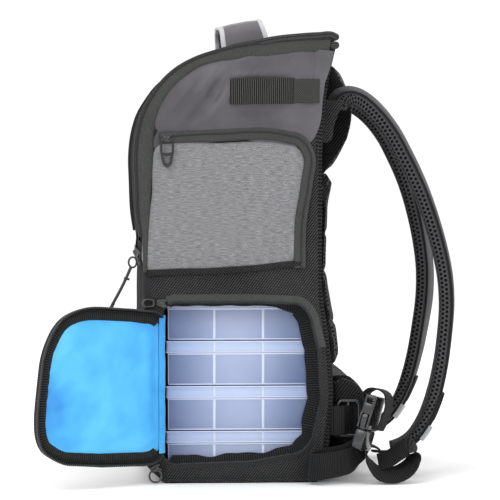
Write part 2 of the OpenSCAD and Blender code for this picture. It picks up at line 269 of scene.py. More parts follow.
def blue_satin(name):
    """Thin bright lining, whose colour runs from shaded to lit blues as painted fold shading."""
    s = Shader(name, "uv", Sheen_Weight=0.25, Sheen_Roughness=0.35, Specular_IOR_Level=0.45)
    # painted fold shading: slow noise between the shaded and the lit blue
    painted_fold_shade = s.noise(14.0, 3.0)
    threads = s.noise(500.0, 2.0, (1.0, 5.0))
    stops = ((0.32, (0.022, 0.25, 0.64)), (0.5, (0.055, 0.4, 0.8)), (0.7, (0.11, 0.53, 0.86)))
    s.colour((painted_fold_shade * 0.85 + threads * 0.15).clip(), *stops)
    s.rough(s.noise(60.0, 4.0), 0.38, 0.5)
    s.bump(threads, 0.0002, 0.3)
    return s.material


BLACK = (0.003, 0.003, 0.0032)
CHARCOAL = (0.022, 0.023, 0.022)
M = {
    "side_twill": twill("side_twill", BLACK, (0.06, 0.06, 0.061), 0.0022, "yz"),
    "back_twill": twill("back_twill", BLACK, (0.035, 0.035, 0.035), 0.0022, "xz"),
    "base_twill": twill("base_twill", BLACK, (0.03, 0.03, 0.03), 0.0026, "xy"),
    "pad_side": twill("pad_side", BLACK, (0.03, 0.03, 0.031), 0.0026, "yz", spots=0.2),
    "run_twill": twill("run_twill", BLACK, (0.045, 0.045, 0.045), 0.0022, "uv"),
    "charcoal": twill("charcoal", CHARCOAL, (0.085, 0.088, 0.084), 0.0013, spots=0.2, depth=0.0003),
    "charcoal_flat": twill("charcoal_flat", CHARCOAL, (0.07, 0.072, 0.069), 0.0013, "xz"),
    "ribbed_wall": ribbed("ribbed_wall", (0.004, 0.004, 0.004), (0.032, 0.032, 0.033), 0.0024),
    # the satin's dark and light stops are the shaded and lit ends of its painted fold shading
    "satin": satin("satin_grey", (0.036, 0.033, 0.038), (0.088, 0.082, 0.093)),
    "satin_run": satin("satin_run", (0.05, 0.048, 0.053), (0.09, 0.086, 0.095), "uv"),
    "handle": satin("handle_cloth", (0.05, 0.047, 0.053), (0.09, 0.085, 0.095), "uv"),
    "lid": satin("lid_cloth", (0.018, 0.018, 0.019), (0.032, 0.031, 0.033), "xz",
                 (0.9, 1.0), 0.0, 0.03),
    "piping": satin("piping", (0.36, 0.36, 0.38), (0.5, 0.5, 0.52), "uv", (0.35, 0.5), 0.3),
    "heather": heather("heather_cloth"),
    "tape": herringbone("zip_tape", (0.012, 0.012, 0.012), (0.035, 0.035, 0.035), 0.0014, 0.003),
    "loop": ribbed("loop_webbing", (0.002, 0.002, 0.002), (0.075, 0.077, 0.071), 0.0021, depth=0.0009),
    "loop_tape": herringbone("loop_tape", (0.008, 0.008, 0.008), (0.05, 0.05, 0.048), 0.0022, 0.004),
    "webbing": ribbed("webbing", (0.003, 0.003, 0.003), (0.026, 0.026, 0.027), 0.0018),
    "mesh": spacer_mesh("spacer_mesh", (0.001, 0.001, 0.001), (0.05, 0.05, 0.053), 0.0042),
    "pad_mesh": spacer_mesh("pad_mesh", (0.002, 0.002, 0.002), (0.045, 0.045, 0.047), 0.0036, "round"),
    "strap_back": satin("strap_back", (0.026, 0.026, 0.028), (0.05, 0.048, 0.053), "uv",
                        (0.7, 0.85), 0.05, 0.15),
    "blue": blue_satin("blue_lining"),
    "coil": plastic("coil", (0.014, 0.014, 0.015), 0.35, Specular_IOR_Level=0.35),
    "gloss": plastic("black_gloss", (0.012, 0.012, 0.013), 0.22, coat=0.6),
    "rubber": plastic("black_rubber", (0.03, 0.03, 0.032), 0.5),
    "metal": plastic("pull_metal", (0.018, 0.018, 0.02), 0.22, 0.2),
    "reflective": reflective("reflective_tape"),
    "tray": frosted("box_tray", (0.14, 0.2, 0.38), (0.44, 0.51, 0.72), 0.25),
    "lid_box": frosted("box_lid", (0.38, 0.48, 0.74), (0.56, 0.65, 0.86), 0.2),
    # rim: a lighter copy of the box plastic; its extra lightness is painted highlight along rims and dividers
    "rim": frosted("box_rim", (0.5, 0.56, 0.76), (0.68, 0.74, 0.9), 0.1),
}

# ---- shapes


def arr(points):
    return np.array(points, float)


def run_of(path):
    """The distance along a path at each of its points."""
    return np.r_[0, np.cumsum(np.linalg.norm(np.diff(path, axis=0), axis=1))]


def stiffened(p, closed, reach):
    """Adds points near both ends of each long edge, so that a curve through them stays straight."""
    out = []
    for i in range(len(p) if closed else len(p) - 1):
        a, b = p[i], p[(i + 1) % len(p)]
        length = np.linalg.norm(b - a)
        out.append(a)
        if length > 2.5 * reach:
            out += [a + (b - a) * reach / length, b - (b - a) * reach / length]
    return arr(out if closed else out + [p[-1]])


def smooth(points, count, closed=False, reach=None):
    """Evenly spaced points on a soft curve through the given ones. Edges well over `reach`
    long stay straight but for that length at each end."""
    p = arr(points)
    if reach:
        p = stiffened(p, closed, reach)
    n = len(p)
    if closed:
        p = np.vstack([p[-1:], p, p[:2]])
    else:
        p = np.vstack([2 * p[:1] - p[1:2], p, 2 * p[-1:] - p[-2:-1]])
    step = np.linalg.norm(np.diff(p, axis=0), axis=1)[:, None]
    pace = np.diff(p, axis=0) / step
    tangent = (pace[:-1] * step[1:] + pace[1:] * step[:-1]) / (step[:-1] + step[1:])
    t = np.linspace(0, 1, 24, endpoint=False)[:, None]
    fine = []
    for i in range(n if closed else n - 1):
        a, b, length = p[i + 1], p[i + 2], step[i + 1]
        m0, m1 = tangent[i] * length, tangent[(i + 1) % n if closed else i + 1] * length
        fine.append(
            (2 * t**3 - 3 * t**2 + 1) * a + (t**3 - 2 * t**2 + t) * m0
            + (3 * t**2 - 2 * t**3) * b + (t**3 - t**2) * m1
        )
    fine = np.vstack(fine + [p[1:2] if closed else p[-2:-1]])
    return evenly(fine, count + 1 if closed else count)[: count if closed else None]


def evenly(points, count):
    points = arr(points)
    run = run_of(points)
    at = np.linspace(0, run[-1], count)
    return np.stack([np.interp(at, run, points[:, k]) for k in range(points.shape[1])], 1)


def straight(points, count):
    """Points spaced evenly along a closed outline with straight sides."""
    points = arr(points)
    return evenly(np.vstack([points, points[:1]]), count + 1)[:-1]


def left_of(points, closed=False):
    """Unit normals to the left of a path drawn in a plane."""
    if closed:
        t = np.roll(points, -1, 0) - np.roll(points, 1, 0)
    else:
        t = np.gradient(points, axis=0)
    t = t / np.linalg.norm(t, axis=1)[:, None]
    return np.stack([-t[:, 1], t[:, 0]], 1)


def ripple(p, scale, seed):
    """Smooth deterministic unevenness from -1 to 1 over points of any dimension."""
    rng = np.random.default_rng(seed)
    total = np.zeros(len(p))
    for k in range(4):
        wave = rng.normal(size=p.shape[1]) * TAU / scale * (1 + 0.6 * k)
        total += np.sin(p @ wave + rng.uniform(0, TAU)) / (1 + 0.5 * k)
    return total / 2


def fold(p, a, b, width, height):
    """A soft ridge along the line from a to b."""
    a, b = arr(a), arr(b)
    run = b - a
    t = np.clip(((p - a) @ run) / (run @ run), 0, 1)
    away = np.linalg.norm(p - a - t[:, None] * run, axis=1)
    fade = np.sin(np.clip(t, 0.02, 0.98) * math.pi) ** 0.5
    return height * np.exp(-((away / width) ** 2)) * fade


def turned(points, centre, degrees):
    """Points turned about a vertical line."""
    a = math.radians(degrees)
    p = points - arr(centre)
    x = p[..., 0] * math.cos(a) - p[..., 1] * math.sin(a)
    y = p[..., 0] * math.sin(a) + p[..., 1] * math.cos(a)
    return np.stack([x, y, p[..., 2]], -1) + arr(centre)


def as_object(name, bm, material, sharp=50):
    """A finished mesh object, in metres, from a bmesh in millimetres."""
    bmesh.ops.remove_doubles(bm, verts=bm.verts, dist=1e-4)
    bmesh.ops.scale(bm, vec=(MM, MM, MM), verts=bm.verts)
    mesh = bpy.data.meshes.new(name)
    bm.to_mesh(mesh)
    bm.free()
    mesh.materials.append(M[material])
    mesh.polygons.foreach_set("use_smooth", [True] * len(mesh.polygons))
    mesh.set_sharp_from_angle(angle=math.radians(sharp))
    obj = bpy.data.objects.new(name, mesh)
    bpy.context.scene.collection.objects.link(obj)
    return obj


def add_grid(bm, points, uv, caps=False):
    """Faces over rows x columns of points. A seam whose ends meet is welded later."""
    rows, cols = points.shape[:2]
    layer = bm.loops.layers.uv.verify()
    verts = [bm.verts.new(p) for p in points.reshape(-1, 3)]
    for i in range(rows - 1):
        for j in range(cols - 1):
            ids = [i * cols + j, i * cols + j + 1, (i + 1) * cols + j + 1, (i + 1) * cols + j]
            face = bm.faces.new([verts[k] for k in ids])
            for loop, k in zip(face.loops, ids):
                loop[layer].uv = uv[k // cols, k % cols] * MM
    if caps:
        for row in (0, rows - 1):
            bm.faces.new([verts[row * cols + j] for j in range(cols - 1)])


def grid_object(name, rows, uvs, material):
    bm = bmesh.new()
    add_grid(bm, arr(rows), arr(uvs))
    return as_object(name, bm, material)


def sweep_into(bm, path, profile, across=(1, 0, 0), loop=False, ring=True):
    """Draws a profile along a path. Its first number runs along `across`, its second to the
    left of the path seen from the end of `across`. A profile may be a function of 0 to 1."""
    path = arr(path)
    if loop:
        path = np.vstack([path, path[:1]])
        tangent = np.vstack([path[1:], path[1:2]]) - np.vstack([path[-2:-1], path[:-1]])
    else:
        tangent = np.gradient(path, axis=0)
    tangent /= np.linalg.norm(tangent, axis=1)[:, None]
    a = np.broadcast_to(arr(across), path.shape)
    a = a - (a * tangent).sum(1)[:, None] * tangent
    a = a / np.linalg.norm(a, axis=1)[:, None]
    b = np.cross(a, tangent)
    rows, uvs = [], []
    run = run_of(path)
    for i in range(len(path)):
        p = arr(profile(i / (len(path) - 1)) if callable(profile) else profile)
        if ring:
            p = np.vstack([p, p[:1]])
        rows.append(path[i] + p[:, :1] * a[i] + p[:, 1:] * b[i])
        uvs.append(np.stack([run_of(p), np.full(len(p), run[i])], 1))
    add_grid(bm, arr(rows), arr(uvs), ring and not loop)


def sweep(name, path, profile, material, **how):
    bm = bmesh.new()
    sweep_into(bm, path, profile, **how)
    if how.get("ring", True):
        bmesh.ops.remove_doubles(bm, verts=bm.verts, dist=1e-4)
        bmesh.ops.recalc_face_normals(bm, faces=bm.faces)
    return as_object(name, bm, material)


def rounded(width, height, r, steps, centre=(0, 0)):
    """Outline of a rectangle with corners of radius r, as profile points."""
    out = []
    for k, (sx, sy) in enumerate(((1, 1), (-1, 1), (-1, -1), (1, -1))):
        for t in range(steps + 1):
            a = (k + t / steps) * TAU / 4
            out.append((centre[0] + sx * (width / 2 - r) + r * math.cos(a),
                        centre[1] + sy * (height / 2 - r) + r * math.sin(a)))
    return out


def plate(name, outline, height, material, place, centre, hole, rings, tuck):
    """A puffed cloth panel: rings of an outline drawn in to its middle or to a hole's edge.
    height(r, p) is the rise at share r of the way in; the outer edge tucks under by `tuck`."""
    outer = arr(outline)
    centre = outer.mean(0) if centre is None else arr(centre)
    inner = np.repeat(centre[None], len(outer), 0)
    if hole is not None:
        inner = ray_hits(hole, centre, outer)
    shares = np.r_[0, 0, np.linspace(0, 1, rings + 1)[1:] ** 1.15]
    rows, uvs = [], []
    for k, r in enumerate(shares):
        p = outer + (inner - outer) * r
        h = height(r, p) if k else height(0, p) - tuck
        closed = np.vstack([p, p[:1]])
        rows.append(place(closed, np.r_[h, h[:1]]))
        uvs.append(closed)
    return grid_object(name, rows, uvs, material)


def ray_hits(loop, centre, towards):
    """Where rays from a centre, towards each given point, cross a closed loop."""
    fine = straight(loop, 1600) - centre
    angle = np.unwrap(np.arctan2(fine[:, 1], fine[:, 0]))
    reach = np.linalg.norm(fine, axis=1)
    order = np.argsort(np.mod(angle, TAU))
    wanted = towards - centre
    at = np.arctan2(wanted[:, 1], wanted[:, 0])
    r = np.interp(np.mod(at, TAU), np.mod(angle, TAU)[order], reach[order], period=TAU)
    return centre + np.stack([np.cos(at), np.sin(at)], 1) * r[:, None]


def puff(r, rise, edge):
    """Rise of a stuffed panel: steep near its edge, nearly level inside."""
    t = min(r / edge, 1.0)
    return rise * math.sqrt(1 - (1 - t) ** 2)


def solid(name, outline, lo, hi, material, place, bevel):
    """An outline made solid between two levels, with rounded edges, then put in its place."""
    bm = bmesh.new()
    bottom = [bm.verts.new((p[0], p[1], lo)) for p in outline]
    face = bm.faces.new(bottom)
    out = bmesh.ops.extrude_face_region(bm, geom=[face])
    lifted = [v for v in out["geom"] if isinstance(v, bmesh.types.BMVert)]
    bmesh.ops.translate(bm, vec=(0, 0, hi - lo), verts=lifted)
    bmesh.ops.recalc_face_normals(bm, faces=bm.faces)
    hard = [e for e in bm.edges if len(e.link_faces) == 2 and e.calc_face_angle(0) > 0.6]
    bmesh.ops.bevel(bm, geom=hard, offset=bevel, segments=3, affect="EDGES", profile=0.5,
                    clamp_overlap=True)
    for v, p in zip(bm.verts, place(arr([v.co for v in bm.verts]))):
        v.co = p
    bmesh.ops.recalc_face_normals(bm, faces=bm.faces)
    return as_object(name, bm, material, 40)


def joined(name, *objs):
    """One object out of several, each keeping its own material."""
    bm = bmesh.new()
    materials = []
    for o in objs:
        material = o.data.materials[0]
        if material not in materials:
            materials.append(material)
        index = materials.index(material)
        o.data.polygons.foreach_set("material_index", [index] * len(o.data.polygons))
        bm.from_mesh(o.data)
    mesh = bpy.data.meshes.new(name)
    bm.to_mesh(mesh)
    bm.free()
    for m in materials:
        mesh.materials.append(m)
    obj = bpy.data.objects.new(name, mesh)
    bpy.context.scene.collection.objects.link(obj)
    for o in objs:
        bpy.data.objects.remove(o)
    return obj


def mirrored(obj, name):
    """A copy of a piece on the other side of the bag."""
    mesh = obj.data.copy()
    mesh.transform(Matrix.Scale(-1, 4, Vector((1, 0, 0))))
    mesh.flip_normals()
    copy = bpy.data.objects.new(name, mesh)
    bpy.context.scene.collection.objects.link(copy)
    return copy


def settle(obj, body, slot, *nodes):
    """Puts a piece on its body and hides the CAD nodes that it stands for; `slot`, the name of its finish, is
    not used.
    """
    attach(obj, body)
    if nodes:
        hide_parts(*nodes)
    return obj


def pair(right, body, slot, node=None):
    """Settles a piece of the right side and its mirrored copy on the left. In the names of the
    body and node, {} stands for the side."""
    left = mirrored(right, right.name.replace("right", "left"))
    for side, obj in (("right", right), ("left", left)):
        settle(obj, body.format(side), slot, *([node.format(side)] if node else []))


SIDE_X = 149.3  # the right side panel's face


def on_right(p, h):
    """Points of the bag's right side, from (y, z) and height off the side."""
    return np.stack([SIDE_X + h, p[:, 0], p[:, 1]], 1)


def side_path(points, x):
    """A path drawn as (y, z), at one x."""
    points = arr(points)
    return np.stack([np.full(len(points), float(x)), points[:, 0], points[:, 1]], 1)


def coil(name, path, size, pitch, across=(1, 0, 0), material="coil"):
    """A zip's coil, whose cross-section swells at each tooth."""
    turns = max(2, round(run_of(path)[-1] / pitch))
    base = arr(rounded(size * 1.7, size, size / 2, 2))

    def profile(share):
        return base * (1 + 0.28 * math.sin(share * turns * TAU))

    return sweep(name, evenly(path, turns * 4 + 1), profile, material, across=across)


def stitches(name, path, pitch=3.4, thick=0.5):
    """A row of short raised stitches."""
    count = max(2, int(run_of(path)[-1] / pitch))
    fine = evenly(path, count * 6 + 1)
    long = max(1, round(6 * 2.3 / pitch))
    bm = bmesh.new()
    for start in range(0, count * 6, 6):
        sweep_into(bm, fine[start : start + long + 1], rounded(thick, thick, thick / 2, 1))
    return as_object(name, bm, "charcoal")


# ---- camera, light and floor


def look(name, kind, place, target):
    data = bpy.data.cameras.new(name) if kind == "CAMERA" else bpy.data.lights.new(name, "AREA")
    obj = bpy.data.objects.new(name, data)
    obj.location = place
    obj.rotation_euler = (Vector(target) - Vector(place)).to_track_quat("-Z", "Y").to_euler()
    bpy.context.scene.collection.objects.link(obj)
    return obj


scene = bpy.context.scene
camera = look("camera", "CAMERA", (2.995, -0.159, 0.317), (0.150, 0.015, 0.234))
camera.data.sensor_width = 36
camera.data.lens = 205
scene.camera = camera

for name, place, size, watts in (
    ("key", (2.6, -1.5, 2.3), 1.8, 36),
    ("fill", (2.4, 1.9, 1.0), 1.8, 14),
    ("top", (0.2, 0.0, 2.8), 2.0, 20),
    ("rim", (-2.2, 1.6, 1.6), 1.6, 11),
    ("front", (-0.6, -2.6, 1.3), 1.6, 11),
):
    light = look(name, "AREA", place, (0.05, 0.02, 0.2))
    light.data.size = size
    light.data.energy = watts

world = bpy.data.worlds.new("studio")
world.use_nodes = True
world.node_tree.nodes["Background"].inputs[0].default_value = (1, 1, 1, 1)
world.node_tree.nodes["Background"].inputs[1].default_value = 1.04
scene.world = world
scene.view_settings.view_transform = "Standard"

floor_shader = Shader("floor", "xy", Specular_IOR_Level=0.1)
floor_shader.colour(floor_shader.noise(3.0), (0.0, (0.955, 0.955, 0.955)), (1.0, (0.975, 0.975, 0.975)))
floor_shader.rough(floor_shader.noise(8.0), 0.8, 0.9)
floor_mesh = bpy.data.meshes.new("floor")
floor_mesh.from_pydata([(-8, -8, 0), (8, -8, 0), (8, 8, 0), (-8, 8, 0)], [], [(0, 1, 2, 3)])
floor_mesh.materials.append(floor_shader.material)
floor = bpy.data.objects.new("floor", floor_mesh)
scene.collection.objects.link(floor)

# ---- outlines shared with the CAD
# Each is a list of (y, z) in millimetres, as seen from the bag's right.

FRONT = [(-70, 1), (-86, 16), (-90, 120), (-90, 212), (-89, 240)]
SEAM = [
    (96, 437), (91, 415), (86, 384), (83, 340), (83, 190), (90, 140), (94, 90), (90, 40), (82, 8), (76, 1),
]
MOUTH = [
    (-72.5, 30), (-62, 19.5), (15, 22), (62, 30), (77, 44), (86, 84), (83, 134), (75, 166),
    (63, 179), (20, 181), (-60, 181), (-72.5, 172),
]
DOOR = [
    (-71, 34), (-63, 24), (-46, 20), (6, 22), (46, 26), (62, 32), (74, 40.5), (80, 53), (81.5, 69),
    (80, 90), (77, 114), (73.5, 134), (67, 150), (59.5, 162), (50, 171), (37, 177), (23, 180),
    (5, 180), (-32, 177), (-58, 174), (-71, 164),
]
POCKET_ZIP = [(-76, 346), (-20, 349), (50, 348), (66, 343), (74, 331), (72, 300), (66, 262), (65, 216)]
STRAP = [
    (98, 384), (103, 391), (112, 397), (124, 399), (138, 396), (150, 389), (161, 379),
    (176, 359), (189, 332), (200, 304), (210, 270), (218, 236), (223, 205), (224, 178),
    (221, 146), (215, 112), (206, 82), (194, 58), (178, 38), (160, 28), (144, 26),
]
SIDE = [
    (-73, 1.5), (0, 0.9), (60, 0.9), (75, 1.4), (81.5, 9), (88, 30), (92, 58), (94.6, 90),
    (91.5, 132), (84, 186), (83.6, 250), (84, 352), (-74, 352), (-86, 349), (-88, 300),
    (-88, 243), (-89.5, 212), (-90, 120), (-87.6, 60), (-86, 18),
]
BAY_HOLE = arr([
    (-71.3, 4.8), (75.8, 4.8), (81.3, 10.8), (83, 34), (85, 50), (88.6, 84), (85.5, 134), (82, 152),
    (81.3, 189.8), (-71.3, 189.8),
])
UPPER = [
    (-87, 345), (-85, 364), (-79, 380), (-66, 399), (-52, 410.5), (-38, 419), (-12, 428), (25, 434),
    (62, 438), (90, 438), (94.5, 433), (92, 414), (88.5, 388), (84, 356), (80, 347), (0, 345),
]
LID_RUN = [
    (-93, 247), (-95, 268), (-97, 300), (-97.5, 334), (-95, 354), (-89, 373.5), (-79, 390), (-70, 402),
    (-57, 413.5), (-40, 423.5), (-20, 430.6), (-3, 435), (27, 440.4), (62, 446), (84, 449), (100, 448),
]
RIM_OUTER = [
    (-92, 212), (-93, 243), (-96.5, 268), (-98, 300), (-98.5, 334), (-96, 354), (-90, 374), (-80, 391),
    (-71, 403), (-58, 414.5), (-40, 424.5), (-20, 431.5), (-3, 436), (27, 441), (65, 444.5), (96, 446),
]
RIM_INNER = [
    (-88, 212), (-86.5, 246), (-84.5, 288), (-82, 327), (-79.5, 362), (-75, 376), (-60, 398),
    (-45, 411), (-35, 417), (-3, 423), (30, 426), (65, 430), (94, 432),
]
POCKET = [
    (-85, 213), (-83, 290), (-78, 338), (-20, 341), (48, 340.5), (61, 337.5), (69, 328), (68.5, 300),
    (64, 262), (62, 225), (57, 221), (0, 217), (-60, 213),
]

# ---- boards that stay as CAD nodes

BOARDS = {
    "base_panel": "base_twill", "bay_floor": "base_twill", "front_panel": "back_twill",
    "side_panel_right": "side_twill", "side_panel_left": "side_twill",
    "back_board": "back_twill", "lid_panel": "lid",
}
for node, material in BOARDS.items():
    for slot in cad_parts[node].material_slots:
        slot.material = M[material]

# ---- bag body

side_line = straight(SIDE, 320)


def side_height(r, p):
    """The twill side lies flat behind the pocket and beside the door's hinge."""
    free = np.clip((214 - p[:, 1]) / 12, 0.15, 1) * np.clip((p[:, 0] + 76) / 10, 0.1, 1)
    inner = min(1, r * 6)
    rise = puff(r, 1.5, 0.18) * free + 0.35 * ripple(p, 90, 3) * min(1, r * 5) * free
    rise = rise + fold(p, (-80, 206), (70, 214), 5, 0.8 * inner)
    return rise + fold(p, (76, 215), (88, 330), 6, 1.2 * inner)


def left_side_height(r, p):
    """The left side has no door, so its lower half bulges a little as well."""
    return side_height(r, p) + puff(r, 2.5, 0.6) * np.clip((200 - p[:, 1]) / 40, 0, 1)


def upper_height(r, p):
    """The satin above the pocket, with soft folds that run up from the pocket's corner."""
    inner = min(1.0, r * 5) * np.clip((p[:, 1] - 347) / 14, 0, 1)
    folds = (
        fold(p, (-58, 356), (-13, 421), 6.5, 4.6) + fold(p, (-66, 368), (-38, 404), 6, 3.4)
        + fold(p, (-34, 352), (-2, 400), 7, 2.8) + fold(p, (66, 425), (48, 356), 9, 2.0)
        - fold(p, (-26, 380), (-13, 405), 6, 5.0) - fold(p, (-8, 371), (60, 374), 5, 2.2)
        + fold(p, (-8, 408), (62, 412), 4, 1.6) + fold(p, (6, 420), (22, 434), 4, 1.6)
        + fold(p, (70, 366), (86, 384), 5, 2.6) - fold(p, (-46, 358), (-32, 380), 5, 2.4)
    )
    h = 0.6 + puff(r, 0.8, 0.3) + inner * (2.0 + folds + 0.6 * ripple(p, 46, 11))
    return np.maximum(h, 0.5)


side_right = plate("side_cloth_right", side_line, side_height, "side_twill", on_right,
                   (4, 100), BAY_HOLE, 14, 5)
settle(side_right, "pack", "dark_twill")
side_built = plate("side_built", side_line, left_side_height, "side_twill", on_right, (4, 170), None, 26, 5)
settle(mirrored(side_built, "side_cloth_left"), "pack", "dark_twill")
bpy.data.objects.remove(side_built)
pair(plate("upper_cloth_right", smooth(UPPER, 260, closed=True), upper_height, "satin", on_right,
           (0, 390), None, 26, 3), "pack", "satin_grey")


def gusset_profile(share):
    w = 15 * (1 - share) ** 0.8 + 3.5
    return [(0.3, -w / 2), (2.0, -w / 2 - 0.4), (4.2 - share, -w * 0.12), (2.2, w / 2), (0.3, w / 2)]


gusset_line = smooth([(90, 434), (88.5, 420), (85.5, 405), (82.5, 393), (81.5, 383)], 30)
pair(sweep("gusset_right", side_path(gusset_line, 149.9), gusset_profile, "satin_run"), "pack", "satin_grey")


def across_bag(x_edge, lift, turn, centre_rise):
    """Profile across the bag for a panel whose side edges turn under."""
    mid = [(x * (x_edge - 3), lift + centre_rise * (1 - x * x) ** 0.7) for x in np.linspace(-1, 1, 26)]
    left = [(-x_edge, -turn), (-x_edge - 0.3, -1.5), (-x_edge + 0.6, lift * 0.55)]
    return left + mid + [(-x, d) for x, d in reversed(left)]


def panel_across(name, line, count, profile, material, wave, seed):
    """A panel drawn down or over the bag, slightly uneven away from its side edges."""
    obj = sweep(name, side_path(smooth(line, count), 0), profile, material, ring=False)
    co = arr([v.co for v in obj.data.vertices]) / MM
    n = arr([v.normal for v in obj.data.vertices])
    fade = np.clip((140 - np.abs(co[:, 0])) / 25, 0, 1)
    co = co + n * (wave * ripple(co, 85, seed) * fade)[:, None]
    for v, p in zip(obj.data.vertices, co):
        v.co = p * MM
    return obj


settle(panel_across("front_cloth", FRONT, 60, across_bag(149.4, 0.8, 7, 2.6), "lid", 0.5, 5),
       "pack", "satin_grey")
settle(panel_across("lid_cloth", LID_RUN, 120, across_bag(151.0, 0.4, 3.0, 1.4), "lid", 0.5, 8),
       "lid", "satin_grey")
settle(panel_across("back_cloth", SEAM, 90, across_bag(149.4, 5.3, 2, 0.6), "back_twill", 0.3, 9),
       "pack", "dark_twill")

# ---- bands, zip and rolled edges of the clamshell

LID_START = 246  # the lid's zip starts at this height
rim_outer, rim_inner = smooth(RIM_OUTER, 170), smooth(RIM_INNER, 170)
# The band's section: share of the way from its outer to its inner line, and height.
BAND_CROWN = ((1, 0), (1, 1.5), (0.9, 3.1), (0.7, 4.1), (0.4, 4.3), (0.15, 3.3), (0, 1.6), (0, -1.5))


def side_band(name):
    """The crowned band on the bag's side between its inner and outer lines."""
    run = np.linspace(0, 640, len(rim_outer))
    rows = [on_right(rim_outer + (rim_inner - rim_outer) * t, np.full(len(run), h)) for t, h in BAND_CROWN]
    uvs = [np.stack([np.full(len(run), t * 14.0), run], 1) for t, _ in BAND_CROWN]
    return grid_object(name, rows, uvs, "charcoal")


pair(side_band("edge_twill_right"), "pack", "charcoal_twill", "edge_band_{}")
lid_edge = rim_outer + left_of(rim_outer) * 0.4
lid_zip = side_path(lid_edge[lid_edge[:, 1] > LID_START], 150.6)
rear_top = smooth([(24, 444), (40, 447), (62, 449.5), (84, 451), (98, 451.3), (103.5, 448.5)], 40)
lid_tape = sweep("lid_tape_right", lid_zip,
                 [(-2, 2.4), (0.9, 2.2), (1.7, 0.4), (1.6, -1.6), (1.0, -2.2), (-2, -2.2)], "tape")
pair(lid_tape, "lid", "zip_tape")
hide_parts("lid_zip_tape")
pair(coil("lid_coil_right", lid_zip + [1.7, 0, 0], 0.9, 2.2, material="tape"), "lid", "zip_tape")
pair(sweep("rear_band_right", side_path(rear_top, 150.6),
           [(-2, 1.2), (1.6, 1.0), (2.6, -1.2), (2.4, -4.6), (-2, -4.9)], "charcoal"), "lid", "zip_tape")
pair(coil("rear_coil_right", side_path(rear_top + [0, -1.2], 153.2), 1.5, 2.6), "lid", "zip_tape")

roll_line = arr([(x, 99.5 + 0.5 * math.sin(x / 23), 447.6 + 0.4 * math.sin(x / 31))
                 for x in np.linspace(-151, 151, 60)])
ROLL_DROP = 8.2  # from the lid's roll to the one on the back's top edge
roll_up = sweep("lid_rear_roll", roll_line, rounded(9.5, 7.0, 3.2, 4), "charcoal_flat", across=(0, 1, 0))
settle(roll_up, "lid", "charcoal_twill")
roll_low = sweep("rear_edge_roll_cloth", roll_line - [0, -0.4, ROLL_DROP], rounded(9, 7.4, 3.4, 4),
                 "charcoal_flat", across=(0, 1, 0))
settle(roll_low, "pack", "charcoal_twill", "rear_edge_roll")

# ---- front zip and its puller

tape_line = arr([(x, -93.9 - 1.5 * (1 - (x / 140) ** 2) ** 0.7, 225) for x in np.linspace(-138, 138, 80)])
front_tape = sweep("front_tape", tape_line,
                   [(0.2, -7), (-0.5, -7), (-0.9, -1.5), (-0.9, 1.5), (-0.5, 7), (0.2, 7)],
                   "tape", across=(0, 1, 0))
settle(front_tape, "pack", "zip_tape", "front_zip_tape")
settle(coil("front_coil", tape_line + [0, -1.0, 0], 1.5, 2.2, across=(0, 1, 0)), "pack", "zip_tape")


def slider(name, centre, along, out, size):
    """A zip slider: a waisted body with a bridge on top. `along` is its travel, `out` its face
    and `size` its width, length and thickness."""
    along, out = arr(along), arr(out)
    side = np.cross(out, along)
    w, l, t = size[0] / 2, size[1] / 2, size[2]
    half = [(w * 0.62, -l), (w * 0.8, -l * 0.3), (w, l * 0.35), (w * 0.75, l), (w * 0.2, l * 0.75)]
    outline = half + [(0, l * 0.45)] + [(-x, y) for x, y in reversed(half)]

    def place(co):
        return arr(centre) + co[:, :1] * side + co[:, 1:2] * along + co[:, 2:] * out

    body = solid(name + ".body", outline, 0, t * 0.5, "gloss", place, 0.5)
    arch = smooth([(-l * 0.75, t * 0.35), (-l * 0.55, t * 0.95), (0, t * 1.15), (l * 0.45, t * 0.95),
                   (l * 0.6, t * 0.35)], 16)
    path = arr(centre) + arch[:, :1] * along + arch[:, 1:] * out
    bridge = sweep(name + ".bridge", path, rounded(w * 0.62, 1.3, 0.6, 3), "gloss", across=side)
    return joined(name, body, bridge)


def loop_of(name, path, section, material):
    """A closed ring of one section, in a plane of constant x."""
    bm = bmesh.new()
    sweep_into(bm, arr(path), section, loop=True)
    bmesh.ops.remove_doubles(bm, verts=bm.verts, dist=1e-4)
    bmesh.ops.recalc_face_normals(bm, faces=bm.faces)
    return as_object(name, bm, material)


def ring_at(x, y, z, wide, high, count):
    """Points of an upright ellipse at one x."""
    turn = np.linspace(0, TAU, count, endpoint=False)
    return [(x, y + wide * math.cos(a), z + high * math.sin(a)) for a in turn]


settle(slider("front_zip_slider", (123, -95.6, 225.5), (1, 0, 0), (0, -1, 0), (8, 9.5, 3.6)),
       "pack", "black_gloss", "front_slider")

CORD_LEAN = math.radians(26)
CORD_LENGTH = 47
cord_start = arr([123, -103.6, 216.4])
cord_run = arr([0, -math.sin(CORD_LEAN), -math.cos(CORD_LEAN)])
stub_at = cord_start + cord_run * 13
settle(
    joined(
        "front_puller_loop",
        loop_of("front_ring", ring_at(122.9, -102, 221, 4, 5.2, 28), rounded(2.4, 1.9, 0.9, 3), "rubber"),
        sweep("front_cord", [cord_start + cord_run * t + [0, 0.7 * math.sin(t / 12), 0]
                             for t in np.linspace(0, CORD_LENGTH, 30)], rounded(3.4, 3.0, 1.3, 3), "rubber"),
        sweep("front_stub", [stub_at + [0, t, -0.25 * t] for t in np.linspace(-1.4, 4.2, 6)],
              rounded(3, 2.2, 1, 2), "rubber"),
        sweep("front_tip", [cord_start + cord_run * t for t in np.linspace(40, 48.5, 8)],
              lambda s: rounded(4.0 - 1.2 * s * s, 3.5 - s * s, 1.3, 3), "rubber"),
    ),
    "front_puller", "black_rubber", "front_pull",
)

# ---- pockets and side loops


